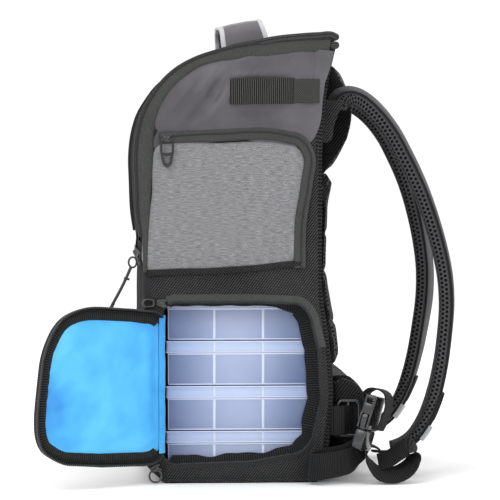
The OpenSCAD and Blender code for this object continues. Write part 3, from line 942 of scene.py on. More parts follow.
def pocket_height(r, p):
    """A filled pocket with a slanting fold at its rear and a line of stitching along its foot."""
    inner = min(1.0, r * 6)
    folds = fold(p, (20, 222), (58, 300), 7, 1.7) - fold(p, (34, 220), (62, 282), 5, 1.5)
    folds = folds - fold(p, (-82, 222), (54, 224), 4, 0.7)
    return 0.6 + puff(r, 3.4, 0.45) + inner * (folds + 0.5 * ripple(p, 60, 21) + 0.16 * ripple(p, 14, 22))


zip_line = smooth(POCKET_ZIP, 130)
zip_left = left_of(zip_line)
hem_line = smooth([(-87, 211), (-60, 212.5), (-20, 213), (20, 216), (50, 219.5), (66, 220.5)], 70)
pair(sweep("pocket_hem_right", side_path(hem_line, 149.6),
           [(0, 3.4), (3.4, 2.6), (4.4, 0.6), (3.8, -2.6), (0, -4.4)], "run_twill"), "pack", "dark_twill")
pair(plate("pocket_cloth_right", smooth(POCKET, 300, closed=True), pocket_height, "heather", on_right,
           (-8, 282), None, 30, 3), "pack", "heather_cloth", "pocket_panel_{}")
pair(sweep("pocket_tape_right", side_path(zip_line, 150.0),
           [(0, 6), (2.6, 5.4), (3.5, 1.2), (3.5, -1.2), (3.0, -5.6), (0, -6.6)], "charcoal"),
     "pack", "charcoal_twill", "pocket_zip_{}")
pair(coil("pocket_coil_right", side_path(zip_line + zip_left * 1.2, 153.5), 1.2, 2.4), "pack", "zip_tape")
pair(stitches("pocket_stitch_right", side_path(zip_line + zip_left * -4.8, 153.0)), "pack", "charcoal_twill")
pair(slider("pocket_runner_right", (153.6, -68.5, 346.5), (0, 1, 0), (1, 0, 0), (9.5, 12.5, 3.4)),
     "pocket_runner_{}", "black_gloss", "pocket_slider_{}")

TAB_X = 157.2
tab_frame = smooth([(-73, 344), (-63.6, 344), (-62.4, 338), (-63.8, 325), (-65.4, 319.4), (-68, 317.6),
                    (-70.8, 319.4), (-72.6, 325), (-74, 338)], 60, closed=True)
tab_foot = smooth([(-72.2, 327), (-71.4, 321.6), (-68, 319.2), (-64.8, 321.6), (-64, 327)], 20)
pair(
    joined(
        "pocket_pull_right",
        loop_of("tab_ring", side_path(tab_frame, TAB_X), rounded(1.7, 2.4, 0.7, 3), "metal"),
        sweep("tab_bar", side_path([(-72.6, 330), (-68, 329.4), (-63.6, 330)], TAB_X),
              rounded(1.6, 3.2, 0.7, 3), "metal"),
        sweep("tab_low", side_path(tab_foot, TAB_X), rounded(1.5, 2.8, 0.7, 3), "metal"),
    ),
    "pocket_puller_{}", "pull_metal", "pocket_tab_{}",
)

# The webbing loop, as (y, height off the cloth).
loop_line = smooth([(-4.5, 0.6), (-4.2, 3.6), (0, 5.2), (12, 6.2), (30, 6.4), (46, 5.8), (55, 4.6),
                    (59.5, 2.4)], 70)
loop_path = np.stack([151.6 + loop_line[:, 1], loop_line[:, 0], 392.4 + loop_line[:, 0] * 0.012], 1)
pair(sweep("side_webbing_right", loop_path, rounded(26, 1.5, 0.6, 3), "loop", across=(0, 0, 1)),
     "pack", "black_webbing", "side_loop_{}")
tape_path = [(154.4 + 0.4 * math.sin(y / 5), y, 393) for y in np.linspace(54, 84.5, 20)]
pair(sweep("side_tape_right", tape_path, rounded(24, 1.2, 0.5, 3), "loop_tape", across=(0, 0, 1)),
     "pack", "black_webbing")

# ---- grab handle

HANDLE_AT = (16, 440.6)
HANDLE_TILT = math.radians(11)
HANDLE_ACROSS = (0, math.cos(HANDLE_TILT), math.sin(HANDLE_TILT))


def on_lid(p):
    """Points of the handle, from x, along the lid and off the lid."""
    p = arr(p)
    y = p[:, 1] * math.cos(HANDLE_TILT) - p[:, 2] * math.sin(HANDLE_TILT)
    z = p[:, 1] * math.sin(HANDLE_TILT) + p[:, 2] * math.cos(HANDLE_TILT)
    return np.stack([p[:, 0], HANDLE_AT[0] + y, HANDLE_AT[1] + z], 1)


half_arch = [(63.5, 0, 3), (62, 0, 9), (58.5, 0, 16), (48, 0, 22.8), (25, 0, 25.6)]
handle_path = on_lid(smooth([(-x, y, z) for x, y, z in half_arch] + half_arch[::-1], 90))


def handle_half(share):
    """Half the width of the handle's cloth, a little wider at its feet."""
    return 18.2 + 1.6 * math.cos(share * TAU) ** 6


def handle_profile(share):
    w = handle_half(share)
    top = [(-w + 2 * w * k / 10, 2.0 + 1.5 * (1 - (2 * k / 10 - 1) ** 2)) for k in range(11)]
    return top + [(w, -0.6), (w * 0.5, -1.6), (-w * 0.5, -1.6), (-w, -0.6)]


def handle_piping(edge):
    """The light piping along one edge, -1 or 1."""
    section = arr(rounded(5.2, 3.8, 1.7, 4))
    return sweep("handle_edge", handle_path, lambda s: section + [edge * (handle_half(s) + 2.3), 0.4],
                 "piping", across=HANDLE_ACROSS)


band = sweep("handle_band", handle_path, handle_profile, "handle", across=HANDLE_ACROSS)
edges = joined("handle_edges", handle_piping(-1), handle_piping(1))
foot = sweep("handle_foot", on_lid([(x, 0, 4.2) for x in np.linspace(-72, -60, 8)]),
             rounded(30, 2.2, 0.9, 3), "charcoal", across=HANDLE_ACROSS)
settle(joined("handle_base", foot, mirrored(foot, "handle_foot_2")), "lid", "charcoal_twill", "handle_feet")
for obj, node in ((band, "handle_strap"), (edges, "handle_piping")):
    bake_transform(obj)
    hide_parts(node)

# ---- mouth of the tackle bay

BAY_CENTRE = arr([5, 100])
mouth_line = smooth(MOUTH, 420, True, 9)
mouth_line = np.roll(mouth_line, -int(np.argmin(np.linalg.norm(mouth_line - [-71, 50], axis=1))), 0)
hole_away = BAY_HOLE - BAY_CENTRE
hole_out = BAY_HOLE + hole_away / np.linalg.norm(hole_away, axis=1)[:, None] * 2.0


def first(mask, after):
    """The first place in a mask, from `after` on, where it holds."""
    return after + int(np.argmax(mask[after:]))


cut_1 = first(mouth_line[:, 1] > 54, 40)
cut_2 = first(mouth_line[:, 1] > 134, cut_1)
cut_3 = first((mouth_line[:, 1] < 150) & (mouth_line[:, 0] < 0), cut_2)
MOUTH_PARTS = {
    "low": mouth_line[: cut_1 + 1],
    "rear": mouth_line[cut_1 : cut_2 + 1],
    "top": mouth_line[cut_2 : cut_3 + 1],
    "front": np.vstack([mouth_line[cut_3:], mouth_line[:1]]),
}
MOUTH_HINGE = -66  # the mouth has no zip in front of this
TAPE_WIDTH = {"low": 4.5, "rear": 4.0, "top": 9.0}
# The bay wall's loose lip: how far it comes in, and from where it widens towards the rear.
LIP_IN = {"low": 6.0, "rear": 12.0, "top": 3.8}
LIP_REAR_START = {"low": 58.0, "rear": 0.0, "top": 42.0}
WALL_CLEAR = 3.2  # how far the wall stands outside the mouth, clear of the closed door


def settle_mouth(obj, part, slot, *nodes):
    """Settles a piece of the mouth on the pack and hides the given nodes; the lower and upper pieces get a
    mesh of their own.
    """
    if nodes:
        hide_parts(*nodes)
    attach(obj, "pack")
    if part == "low":
        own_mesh(obj)
    if part == "top":
        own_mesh(obj)


def mouth_cloth(part, line):
    """The twill from the side panel's opening in to the mouth's edge."""
    outer = ray_hits(hole_out, BAY_CENTRE, line)
    rows, uvs = [], []
    for share in np.linspace(0, 1, 9):
        p = outer + (line - outer) * share
        h = 1.1 + 1.1 * math.sin(share * math.pi) + 0.3 * ripple(p, 40, 31)
        h = h * np.clip((p[:, 0] + 74) / 8, 0.1, 1)
        rows.append(on_right(p, h - (0 if share else 1.2)))
        uvs.append(p)
    rows.append(on_right(line + left_of(line) * 0.6, np.full(len(line), -2.0)))
    uvs.append(line)
    cloth = grid_object("mouth_cloth_" + part, rows, uvs, "side_twill")
    settle_mouth(cloth, part, "dark_twill", *(["door_surround"] if part == "rear" else []))


def mouth_zip(part, line):
    """The mouth's zip tape and coil."""
    w = TAPE_WIDTH[part]
    tape = sweep("mouth_tape_" + part, side_path(line, 149.9),
                 [(0.2, 0.3), (1.6, 0.1), (2.2, -w * 0.4), (1.9, -w + 0.6), (1.0, -w), (0.2, -w)],
                 "charcoal" if part == "top" else "tape")
    settle_mouth(tape, part, "zip_tape")
    edge = coil("mouth_coil_" + part, side_path(line - left_of(line) * 0.7, 152.0), 1.5, 2.3)
    settle_mouth(edge, part, "zip_tape")


def bay_wall(part, line):
    """The soft wall behind the mouth: straight in, and then a loose lip towards the boxes."""
    run = run_of(line)
    if part == "low":
        sway = np.sin(run / 9.0) * 1.5 + np.sin(run / 4.3 + 1) * 0.7
    else:
        sway = 0.35 * np.sin(run / 5)
    rear = np.clip((line[:, 0] - LIP_REAR_START[part]) / 22, 0, 1)
    width = LIP_IN[part] + (LIP_IN["rear"] - LIP_IN[part]) * rear
    rows, uvs = [], []
    for share in np.linspace(0, 1, 10):
        lip = max(0.0, share - 0.5) * 2
        clear = WALL_CLEAR * min(1.0, share / 0.2)
        inward = (width + clear + sway * lip) * math.sin(lip * math.pi / 2) - clear
        depth = 1.5 + 23.0 * min(share, 0.5) + 5.0 * lip
        rows.append(on_right(line + left_of(line) * inward[:, None], np.full(len(run), -depth)))
        uvs.append(np.stack([np.full(len(run), share * 18), run], 1))
    wall = grid_object("bay_wall_" + part, rows, uvs, "ribbed_wall")
    settle_mouth(wall, part, "dark_twill", *(["bay_lip"] if part == "rear" else []))


for part, line in MOUTH_PARTS.items():
    mouth_cloth(part, line)
    if part != "front":
        line = line[line[:, 0] > MOUTH_HINGE]
        mouth_zip(part, line)
        bay_wall(part, line)

# ---- tackle door

DOOR_AXIS = (150, -73, 0)
DOOR_ANGLE = -147


def to_door(obj):
    """Swings a piece built on the closed door open about the hinge."""
    co = turned(arr([v.co for v in obj.data.vertices]) / MM, DOOR_AXIS, DOOR_ANGLE) * MM
    obj.data.vertices.foreach_set("co", co.ravel())
    obj.data.update()
    return obj


def in_door(p, depth):
    """Points of the open door, from (y, z) and depth behind its outer face when closed."""
    return turned(np.stack([DOOR_AXIS[0] - depth, p[:, 0], p[:, 1]], 1), DOOR_AXIS, DOOR_ANGLE)


def inset(line, by):
    """A closed line moved inward, softened and spaced evenly again."""
    moved = line + left_of(line, True) * by
    for _ in range(12):
        moved = (np.roll(moved, 1, 0) + moved * 2 + np.roll(moved, -1, 0)) / 4
    return straight(moved, 300)


def to_hinge(line, start, pull):
    """Stretches a line towards the hinge: what lies beyond `start` goes `pull` times as far."""
    y = line[:, 0]
    return np.stack([np.where(y < start, start + (y - start) * pull, y), line[:, 1]], 1)


door_line = smooth(DOOR, 420, True, 9)
door_line = door_line + left_of(door_line, True) * 1.2


def door_rise(r, p):
    return puff(r, 1.0, 0.3) + 0.35 * ripple(p, 70, 41) * min(1, r * 4)


def lining_rise(r, p):
    """The lining, puckered along its free edges and softly folded."""
    edge = math.exp(-((r / 0.16) ** 2))
    free = np.clip((p[:, 0] + 50) / 20, 0, 1)
    pucker = np.sin(p[:, 1] / 3.1 + 2 * np.sin(p[:, 1] / 17)) * edge * free * 0.9
    folds = (
        fold(p, (70, 128), (34, 146), 6, 2.2) + fold(p, (76, 96), (40, 110), 6, 2.0)
        + fold(p, (70, 56), (30, 48), 7, 2.0) - fold(p, (72, 112), (46, 122), 4, 1.6)
        + fold(p, (-50, 160), (-52, 50), 7, 2.0) + fold(p, (-40, 32), (-62, 50), 5, 1.4)
        + fold(p, (4, 150), (-10, 60), 9, 1.4) - fold(p, (40, 84), (66, 76), 4, 1.4)
    )
    h = puff(r, 2.2, 0.5) + pucker + min(1, r * 5) * folds
    return h + 0.3 * ripple(p, 50, 43) * min(1, r * 6)


door_cloth = plate("door_cloth", to_hinge(inset(door_line, 0.4), -60, 1.18), door_rise, "run_twill",
                   lambda p, h: in_door(p, 2.0 - 0.8 * h), None, None, 20, 2.0)
settle(door_cloth, "door", "dark_twill", "door_panel")

free = door_line[:, 0] > -67.5
first_free = int(np.argmax(free & ~np.roll(free, 1)))
rim_line = np.roll(door_line, -first_free, 0)[: free.sum()]
rim = sweep("door_rim", side_path(rim_line, 143.9), rounded(6.8, 1.3, 0.5, 2, (0, 0.7)), "ribbed_wall")
settle(to_door(rim), "door", "zip_tape", "door_zip_rim")
door_coil = coil("door_coil", side_path(rim_line - left_of(rim_line) * 0.1, 140.3), 1.9, 2.3)
settle(to_door(door_coil), "door", "zip_tape")
border_line = evenly(rim_line, 360)
border_line = border_line + left_of(border_line) * 7.2


def border_profile(share):
    """The padded border, gathered along its length."""
    swell = 1 + 0.12 * math.sin(share * 190)
    crown = [(-2.6 * swell, -2.8), (-3.2 * swell, 0.2), (-2.6 * swell, 3.2)]
    return [(1.6, -5.4), (-1.0, -5.5)] + crown + [(-1.2, 5.2), (1.0, 5.2)]


border = sweep("door_border_cloth", side_path(border_line, 146.2), border_profile, "ribbed_wall")
settle(to_door(border), "door", "dark_twill", "door_border")
border_seam = side_path(border_line - left_of(border_line) * 4.6, 144.4)
settle(to_door(stitches("door_stitch", border_seam, 3.0, 0.45)), "door", "dark_twill")
lining = plate("door_lining_cloth", to_hinge(inset(door_line, 11.0), -45, 1.76), lining_rise, "blue",
               lambda p, h: in_door(p, 4.2 + h), None, None, 34, 1.4)
settle(lining, "door", "blue_lining", "door_lining")


def hinge_gusset():
    """The strip of lining that runs round the hinge, from the bay on to the door."""
    across = smooth([(159.5, -76.4), (155.5, -72.8), (151, -70.4), (145, -69.9), (132, -70.2)], 24)
    rows, uvs = [], []
    for z in np.linspace(31, 169, 60):
        wave = 0.5 * math.sin(z / 8) + 0.3 * math.sin(z / 3.7)
        level = np.full(24, z)
        rows.append(np.stack([across[:, 0], across[:, 1] + wave * np.linspace(0.3, 0.6, 24), level], 1))
        uvs.append(np.stack([np.arange(24) * 1.2, level], 1))
    cloth = grid_object("hinge_gusset", rows, uvs, "blue")
    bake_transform(cloth)


hinge_gusset()
settle(slider("door_slider_top", (151.4, -73.5, 181.0), (0, 1, -0.05), (1, 0, 0), (9, 10.5, 4.4)),
       "pack", "black_gloss", "door_slider_upper")
stirrup = smooth([(-82, 183.6), (-85, 184.4), (-90.6, 183.8), (-92.4, 181), (-90.6, 178), (-85, 177.4),
                  (-82, 178.2), (-81.4, 181)], 48, closed=True)
settle(loop_of("door_stirrup", side_path(stirrup, 152.6), rounded(1.9, 2.1, 0.8, 3), "gloss"),
       "door_puller_upper", "black_gloss", "door_pull_upper")
settle(slider("door_slider_low", (150.8, -79.5, 15.4), (0, 0.94, 0.34), (1, 0, 0), (8.5, 11, 4.2)),
       "pack", "black_gloss", "door_slider_lower")
settle(loop_of("door_ring", ring_at(155.4, -80, 8.2, 6.1, 6.4, 36), rounded(2.0, 1.9, 0.8, 3), "gloss"),
       "door_puller_lower", "black_gloss", "door_pull_lower")

# ---- tackle boxes

BOX_X, BOX_Y = (-127, 127), (-69, 79)
BOX_FLOOR, BOX_PITCH = 5.6, 45.6
BOX_HEIGHT, LID_HEIGHT, WALL = 44.8, 12, 1.6


def blocks(name, spans, material, bevel):
    """Several rounded bars, given by their lowest and highest corners, as one piece."""
    bm = bmesh.new()
    for lo, hi in spans:
        lo, hi = Vector(lo), Vector(hi)
        made = bmesh.ops.create_cube(bm, size=1)
        bmesh.ops.scale(bm, vec=hi - lo, verts=made["verts"])
        bmesh.ops.translate(bm, vec=(lo + hi) / 2, verts=made["verts"])
        edges = list({e for v in made["verts"] for e in v.link_edges})
        bmesh.ops.bevel(bm, geom=edges, offset=bevel, segments=2, affect="EDGES", profile=0.5)
    return as_object(name, bm, material, 35)


def walls(x, y, z):
    """Four upright walls inside a box's outline, between two heights."""
    (x0, x1), (y0, y1), (z0, z1) = x, y, z
    return [
        ((x0, y0, z0), (x0 + WALL, y1, z1)), ((x1 - WALL, y0, z0), (x1, y1, z1)),
        ((x0, y0, z0), (x1, y0 + WALL, z1)), ((x0, y1 - WALL, z0), (x1, y1, z1)),
    ]


def tackle_box(n):
    """A divided tray with its moulded ribs, and its lid with a raised rim at both edges."""
    z0 = BOX_FLOOR + (n - 1) * BOX_PITCH
    end = z0 + BOX_HEIGHT
    lid_z = end - LID_HEIGHT
    top = lid_z - 0.4
    (x0, x1), (y0, y1) = BOX_X, BOX_Y
    ix0, ix1, iy0, iy1 = x0 + 1.2, x1 - 1.2, y0 + 2.6, y1 - 2.6
    lanes = [y0 + (y1 - y0) * k / 3 for k in (1, 2)]
    tray = [((ix0, iy0, z0), (ix1, iy1, z0 + WALL))] + walls((ix0, ix1), (iy0, iy1), (z0, top))
    settle(blocks(f"box_tray_{n}", tray, "tray", 0.5), f"tackle_box_{n}", "box_tray", f"tackle_tray_{n}")
    ribs = [((ix0 + 2, y - 0.8, z0 + 1), (ix1 - 0.4, y + 0.8, top)) for y in lanes]
    ribs += [((ix1 - 0.5, y - 1.3, z0 + 1.5), (ix1 + 0.25, y + 1.3, top - 0.5)) for y in lanes]
    ribs += [((ix0 - 0.6, iy0 - 0.6, top - 1.6), (ix1 + 0.6, iy1 + 0.6, top))]
    ribs += [((ix1 - 0.4, iy0 + 0.2, z0 + 0.4), (ix1 + 0.3, iy1 - 0.2, z0 + 1.6))]
    ribs += [((ix1 - 0.6, y - 0.5, z0 + 1), (ix1 + 0.2, y + 0.5, top)) for y in (iy0 + 0.4, iy1 - 0.4)]
    # the ribs use the lighter rim plastic, whose extra lightness is painted highlight
    settle(blocks(f"box_ribs_{n}", ribs, "rim", 0.3), f"tackle_box_{n}", "box_tray")
    lid = [((x0 + 1, y0 + 1, end - WALL), (x1 - 1, y1 - 1, end - 0.4))]
    lid += walls((x0 + 0.8, x1 - 0.8), (y0 + 0.8, y1 - 0.8), (lid_z + 0.4, end - 0.6))
    settle(blocks(f"box_lid_{n}", lid, "lid_box", 0.5), f"tackle_box_{n}", "box_lid", f"tackle_lid_{n}")
    rims = walls(BOX_X, BOX_Y, (end - 1.5, end)) + walls(BOX_X, BOX_Y, (lid_z, lid_z + 1.3))
    rims += [((x1 - 1.4, y - 1.0, lid_z + 0.8), (x1 - 0.5, y + 1.0, end - 1)) for y in lanes]
    # the rims use the lighter rim plastic, whose extra lightness is painted highlight along the edges
    settle(blocks(f"box_edges_{n}", rims, "rim", 0.35), f"tackle_box_{n}", "box_lid")


for n in range(1, 5):
    tackle_box(n)

# ---- stuffed pads


def coordinates(obj):
    return arr([v.co for v in obj.data.vertices])


def set_coordinates(obj, co):
    obj.data.vertices.foreach_set("co", np.ascontiguousarray(co).ravel())
    obj.data.update()


def baked(obj):
    """Applies every modifier to the mesh."""
    graph = bpy.context.evaluated_depsgraph_get()
    mesh = bpy.data.meshes.new_from_object(obj.evaluated_get(graph))
    obj.modifiers.clear()
    obj.data = mesh


def stuffed(node, name, material, cap):
    """A pad swollen by cloth simulation inside its CAD solid's space. No point moves by more
    than `cap` millimetres. Its ends have a plain side."""
    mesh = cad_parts[node].data.copy()
    obj = bpy.data.objects.new(name, mesh)
    scene.collection.objects.link(obj)
    remesh = obj.modifiers.new("remesh", "REMESH")
    remesh.mode = "VOXEL"
    remesh.voxel_size = 5.0 * MM
    baked(obj)
    normals = arr([v.normal for v in obj.data.vertices])
    rest = coordinates(obj) - normals * 1.6 * MM
    set_coordinates(obj, rest)
    cloth = obj.modifiers.new("cloth", "CLOTH")
    cloth.settings.quality = 5
    cloth.settings.mass = 0.3
    cloth.settings.use_pressure = True
    cloth.settings.uniform_pressure_force = 4.0
    cloth.settings.effector_weights.gravity = 0
    for frame_number in range(1, 21):
        scene.frame_set(frame_number)
    baked(obj)
    scene.frame_set(1)
    moved = coordinates(obj) - rest
    reach = np.linalg.norm(moved, axis=1)[:, None]
    set_coordinates(obj, rest + moved * np.minimum(1, cap * MM / np.maximum(reach, 1e-9)))
    subdivide = obj.modifiers.new("subdivide", "SUBSURF")
    subdivide.levels = subdivide.render_levels = 1
    baked(obj)
    obj.data.materials.clear()
    obj.data.materials.append(M[material])
    obj.data.materials.append(M["pad_side"])
    for face in obj.data.polygons:
        face.use_smooth = True
        face.material_index = int(abs(face.normal.x) > 0.55)
    return obj


def channels(obj, axis, places, width, depth):
    """Sewn channels pressed into a pad's rear face, across the given axis."""
    co = coordinates(obj) / MM
    normals = arr([v.normal for v in obj.data.vertices])
    facing = np.clip(normals[:, 1], 0, 1)
    press = sum(np.exp(-(((co[:, axis] - place) / width) ** 2)) for place in places)
    co = co - normals * (np.clip(press, 0, 1) * facing * depth)[:, None]
    set_coordinates(obj, co * MM)


def stretched_back(pad, start, end):
    """Stretches what lies behind `start` so that the pad reaches back to `end`."""
    co = coordinates(pad)
    y = co[:, 1]
    pull = (end - start) / (y.max() - start)
    co[:, 1] = np.where(y > start, start + (y - start) * pull, y)
    set_coordinates(pad, co)


def stretched_up(pad, start, end, back):
    """Stretches what lies above `start` up to `end`, and its rear face back by up to `back`."""
    co = coordinates(pad)
    top = co[:, 2].max()
    high = np.clip((co[:, 2] - start) / (top - start), 0, 1)
    co[:, 2] += high * (end - top)
    co[:, 1] += np.where(co[:, 1] > 0.09, back * high, 0)
    set_coordinates(pad, co)


upper_pad = stuffed("back_pad_upper", "pad_upper", "pad_mesh", 4)
stretched_back(upper_pad, 0.1, 0.1275)
channels(upper_pad, 0, (-30, 0, 30), 3, 2.2)
settle(upper_pad, "pack", "back_fabric", "back_pad_upper")
middle_pad = stuffed("back_pad_middle", "pad_middle", "pad_mesh", 4)
stretched_up(middle_pad, 0.2, 0.312, 0.005)
channels(middle_pad, 0, (-78, -26, 26, 78), 3.5, 2.2)
channels(middle_pad, 2, (250, 212, 160), 3, 1.8)
settle(middle_pad, "pack", "back_fabric", "back_pad_middle")
lumbar = stuffed("lumbar_pad", "pad_lumbar", "pad_mesh", 5)
channels(lumbar, 0, (-70, 0, 70), 4, 3.0)
channels(lumbar, 2, (60,), 3.5, 2.6)
settle(lumbar, "pack", "back_fabric", "lumbar_pad")
settle(stuffed("hip_wings", "belt_wings", "side_twill", 3), "pack", "dark_twill", "hip_wings")

# ---- shoulder straps

STRAP_X = {"right": 94, "left": -94}
# How each strap hangs off its drawn line, over shares of its length: its section's turn in
# degrees, and how far it stands out and down.
SWAY_AT = (0.0, 0.06, 0.13, 0.2, 0.3, 0.4, 0.5, 0.6, 0.7, 0.8, 0.9, 0.96, 1.0)
LEAN = {
    "right": (-4, -6, -9, -9, -9, -8, -8, -8, -7, -5, -3, -3, -3),
    "left": (-8, -8, -8, -8, -9, -11, -12, -13, -12, -10, -9, -8, -8),
}
SWAY_OUT = {
    "right": (0, -3, -6.5, -6, -2.5, 1.5, 4, 5, 6, 7.5, 8, 4, 0),
    "left": (0, 3, 5, 6, 8.5, 9.5, 8, 5, 3, 3, 3, 1, 0),
}
SWAY_DOWN = {
    "right": (0, 0, 0, 0, 0, 0, 0, 0, 1, 4, 7, 4, 0),
    "left": (0, 0, 0, 0, 0, 0, 0, 0, 0, 0.5, 1, 0.5, 0),
}
strap_fine = evenly(smooth(STRAP, 190), 400)


def leaned(points, angle):
    """A strap profile turned about its own middle."""
    pivot = -7.0
    p = arr(points) - [0, pivot]
    return np.stack([p[:, 0] * math.cos(angle) - p[:, 1] * math.sin(angle),
                     p[:, 0] * math.sin(angle) + p[:, 1] * math.cos(angle) + pivot], 1)


def strap_section(share):
    """The padded strap's section: 15 points across each face and 3 down each side."""
    late = max(0, (share - 0.8) / 0.2)
    narrow = 1 - 0.16 * max(0, 1 - share / 0.08) - 0.4 * late**1.3
    thick = 19.0 - 4.0 * share - 5.0 * late
    t = np.linspace(-1, 1, 15)
    outer = [(30.8 * k, -0.4 - 2.6 * k**4) for k in t]
    inner = [(30.6 * k, -thick + 2.6 * k**4) for k in t[::-1]]
    right = [(32.0, -4.9), (32.4, -0.5 * thick), (31.8, 4.2 - thick)]
    left = [(-x, z) for x, z in right[::-1]]
    return arr(outer + right + inner + left) * [narrow, 1.0]


def strap_share(point):
    """The share of the strap's length that is nearest to a point."""
    return float(np.argmin(np.linalg.norm(strap_fine - arr(point), axis=1))) / 399


def smooth_between(at, values):
    """Values between those given at SWAY_AT, without corners."""
    fine = np.linspace(0, 1, 401)
    level = np.interp(fine, SWAY_AT, values)
    for _ in range(260):
        level[1:-1] = (level[:-2] + 2 * level[1:-1] + level[2:]) / 4
    return np.interp(at, fine, level)


def strap_band(name, side, ends, section, material, count=24):
    """A piece that follows the strap between two shares of its length."""
    def profile(share):
        turn = smooth_between(ends[0] + (ends[1] - ends[0]) * share, LEAN[side])
        return leaned(section(share), math.radians(turn))

    line = evenly(strap_fine[int(ends[0] * 399) : int(ends[1] * 399) + 1], count)
    path = side_path(line, STRAP_X[side])
    along = np.linspace(*ends, count)
    path[:, 1] += smooth_between(along, SWAY_OUT[side])
    path[:, 2] -= smooth_between(along, SWAY_DOWN[side])
    return sweep(name, path, profile, material)


PAD_END = strap_share((162, 28.8))
CAP_START, CAP_END = strap_share((209, 90)), strap_share((198, 64))
PATCH_START, PATCH_END = strap_share((194, 59)), strap_share((184, 45))
SECTION_POINTS = 36


def strap(side):
    """A padded strap with its bindings, end cap, reflective patch, webbing and tail."""
    body = "strap_" + side
    pad = strap_band("strap_pad_cloth_" + side, side, (0, PAD_END),
                     lambda s: strap_section(s * PAD_END), "strap_back", 170)
    pad.data.materials.append(M["mesh"])
    for k, face in enumerate(pad.data.polygons):
        if k % SECTION_POINTS >= 15:
            face.material_index = 1
    settle(pad, body, "spacer_mesh", "strap_pad_" + side)
    for edge, letter in ((1, "a"), (-1, "b")):
        def binding_section(share, edge=edge):
            out = strap_section(share * PAD_END)[:, 0].max() * 0.975
            return arr(rounded(1.8, 2.2, 0.8, 3)) + [edge * out, -2.6]

        binding = strap_band(f"strap_binding_{side}_{letter}", side, (0, PAD_END), binding_section,
                             "webbing", 150)
        settle(binding, body, "charcoal_twill")
    cap = strap_band("strap_cap_" + side, side, (CAP_START, CAP_END),
                     lambda s: arr(rounded(40 - 6 * s, 9.0, 3.0, 4)) + [0, -2.6], "run_twill")
    settle(cap, body, "dark_twill", "strap_trim_" + side)
    patch = strap_band("strap_reflector_" + side, side, (PATCH_START, PATCH_END),
                       lambda s: arr(rounded(46, 12.0, 1.6, 4)) + [0, -2.6], "reflective")
    settle(patch, body, "reflective")
    web = strap_band("strap_webbing_" + side, side, (CAP_END - 0.02, 1),
                     lambda s: arr(rounded(26, 4.4 - 2.4 * s, 1.0, 3)) + [0, -0.6 + 0.6 * s], "webbing", 50)
    settle(web, body, "black_webbing")
    tail_line = smooth([(126, 22), (133, 27), (139, 31), (145, 31), (151, 28)], 40)
    tail = sweep("strap_tail_" + side, side_path(tail_line, STRAP_X[side]),
                 rounded(25, 1.7, 0.6, 3), "webbing")
    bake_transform(tail)
    if side == "right":
        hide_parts("strap_tails")


for side in STRAP_X:
    strap(side)


def wing_place(co):
    return np.stack([co[:, 2] + 0.5 * np.sin(co[:, 1] / 9), co[:, 0], co[:, 1]], 1)


wing_line = smooth([(89, 384), (100, 384.6), (110, 384), (105.5, 371), (101, 358), (97.6, 344), (93, 341.6),
                    (88.8, 342), (88, 364)], 60, closed=True)
wing = solid("strap_wing_right", wing_line, 127.6, 131.2, "side_twill", wing_place, 1.0)
wing_tab = blocks("strap_tab_right", [((70, 90.5, 363.5), (118, 96, 376.5))], "charcoal_flat", 1.2)
root = joined("strap_root_right", wing, wing_tab)
pair(root, "pack", "dark_twill")
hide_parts("strap_roots")

# ---- belt, tri-glide and buckle

BUCKLE_AT = arr((161, 133, 61))
BUCKLE_TURN = arr(Matrix.Rotation(math.radians(-17), 3, "X") @ Matrix.Rotation(math.radians(-24), 3, "Z"))
UPRIGHT = (0, 0, 1)


def on_buckle(p):
    """From the buckle's own frame (width, thickness, length) to its place on the bag."""
    return arr(p) @ BUCKLE_TURN.T + BUCKLE_AT


def buckle_part(name, outline, thick, material, bevel):
    """An outline drawn as (width, length), made solid between two levels of thickness."""
    return solid(name, outline, *thick, material,
                 lambda co: on_buckle(np.stack([co[:, 0], co[:, 2], co[:, 1]], 1)), bevel)


def both_sides(half):
    """An outline from its right half."""
    return half + [(-x, y) for x, y in reversed(half)]


shell_outline = both_sides([(17, -6), (17, 7), (15.6, 12), (15.2, 20), (16, 28)])
socket = [
    buckle_part("socket_front", shell_outline, (-6, -3.6), "gloss", 0.8),
    buckle_part("socket_rear", shell_outline, (3.6, 6), "gloss", 0.8),
]
for x in (-15.6, 15.6):
    side_outline = [(x - 1.2, 9), (x + 1.2, 9), (x + 0.8, 19.6), (x - 0.8, 19.6)]
    socket.append(buckle_part("socket_side", side_outline, (-5, 5), "gloss", 0.5))
for name, half, depth, bevel in (
    ("socket_mid", [(13, 14), (13, 19.6)], (-4.5, 4.5), 0.6),
    ("socket_bar", [(15.6, 24.4), (15.6, 28)], (-5.4, 5.4), 1.3),
    ("socket_rib", [(12, -3), (9, 9)], (-6.9, -5.4), 0.6),
):
    socket.append(buckle_part(name, both_sides(half), depth, "gloss", bevel))
settle(joined("buckle_socket_shell", *socket), "buckle", "black_gloss", "buckle_socket")

tongue_outline = both_sides([(12, -6.8), (16.4, -8), (17, -18), (16.2, -26), (13.5, -28.4)])
tongue = [buckle_part("tongue_body", tongue_outline, (-5.6, 5.6), "gloss", 1.8)]
for x in (-1, 1):
    arm = [(x * 8.8, -8), (x * 14.6, -8), (x * 18.2, 0.5), (x * 18.4, 6.5), (x * 15.2, 10),
           (x * 13.2, 6), (x * 12.6, 0)]
    tongue.append(buckle_part("tongue_arm", arm[::x], (-2.9, 2.9), "gloss", 1.0))
tongue.append(buckle_part("tongue_guide", both_sides([(2.2, -8), (1.8, 13)]), (-2.4, 2.4), "gloss", 0.6))
settle(joined("buckle_tongue_body", *tongue), "pack", "black_gloss", "buckle_tongue")

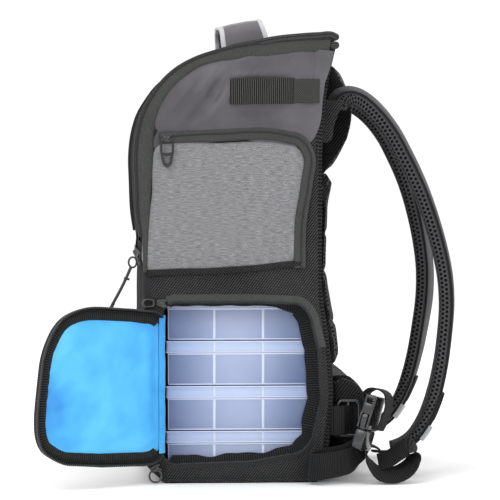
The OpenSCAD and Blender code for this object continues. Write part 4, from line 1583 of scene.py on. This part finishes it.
arch = smooth([(2, 22.2), (-8, 22), (-10.8, 26), (-8, 32), (2, 35.4), (10.6, 33), (15, 24), (15.6, 8),
               (13.6, -4)], 60)
arch_path = on_buckle(np.stack([np.zeros(60), arch[:, 0], arch[:, 1]], 1))
settle(sweep("buckle_webbing", arch_path, rounded(25, 1.6, 0.6, 3), "webbing", across=BUCKLE_TURN[:, 0]),
       "buckle", "black_webbing", "buckle_socket_webbing")

GLIDE = (140.6, 115, 64)
glide_ring = [(GLIDE[0], GLIDE[1] + 10.6 * a, GLIDE[2] + 17.5 * b) for a, b in rounded(2, 2, 0.35, 5)]
glide = joined(
    "belt_triglide",
    loop_of("glide_ring", glide_ring, rounded(3.6, 3.2, 1.2, 3), "gloss"),
    sweep("glide_bar", [(*GLIDE[:2], z) for z in np.linspace(47, 81, 12)], rounded(3, 3.4, 1.2, 3), "gloss"),
)
settle(glide, "pack", "black_gloss", "belt_glide")
folds = smooth([(139.6, 118), (144, 112), (149.5, 106), (150.4, 98.5), (151.4, 96.6), (152.6, 98.5),
                (152.8, 106), (153.2, 109.6), (154.4, 110.2), (155.2, 108), (155.0, 99)], 90)
fold_path = np.stack([folds[:, 0], folds[:, 1], np.full(90, 62.5)], 1)
settle(sweep("belt_fold", fold_path, rounded(29, 1.3, 0.5, 3), "webbing", across=UPRIGHT),
       "pack", "black_webbing")

front_mid = smooth([(141, 128, 40), (150, 124, 30), (160, 117, 24), (170, 106, 21.5), (177, 94, 20),
                    (178, 82, 18.5), (171, 74, 17.5), (161, 75, 18.5), (156, 84, 20.5), (157, 96, 23),
                    (160, 110, 26), (158, 122, 33), (155, 129, 42)], 130)
front_loop = sweep("belt_loop_front", front_mid, rounded(27, 1.6, 0.6, 3), "webbing", across=(0.12, 0.1, 1.0))
settle(front_loop, "pack", "black_webbing", "belt_webbing")
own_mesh(front_loop)
rear_mid = smooth([(160, 129, 36), (163, 134, 22), (165, 144, 11), (165, 156, 8.5), (163, 168, 12),
                   (160, 178, 22), (159, 181, 31), (158, 175, 36.5), (157, 166, 32), (155, 156, 25),
                   (152, 144, 20)], 110)
rear_loop = sweep("belt_loop_rear", rear_mid, rounded(25, 1.6, 0.6, 3), "webbing", across=(0.8, 0.1, -0.55))
settle(rear_loop, "pack", "black_webbing")
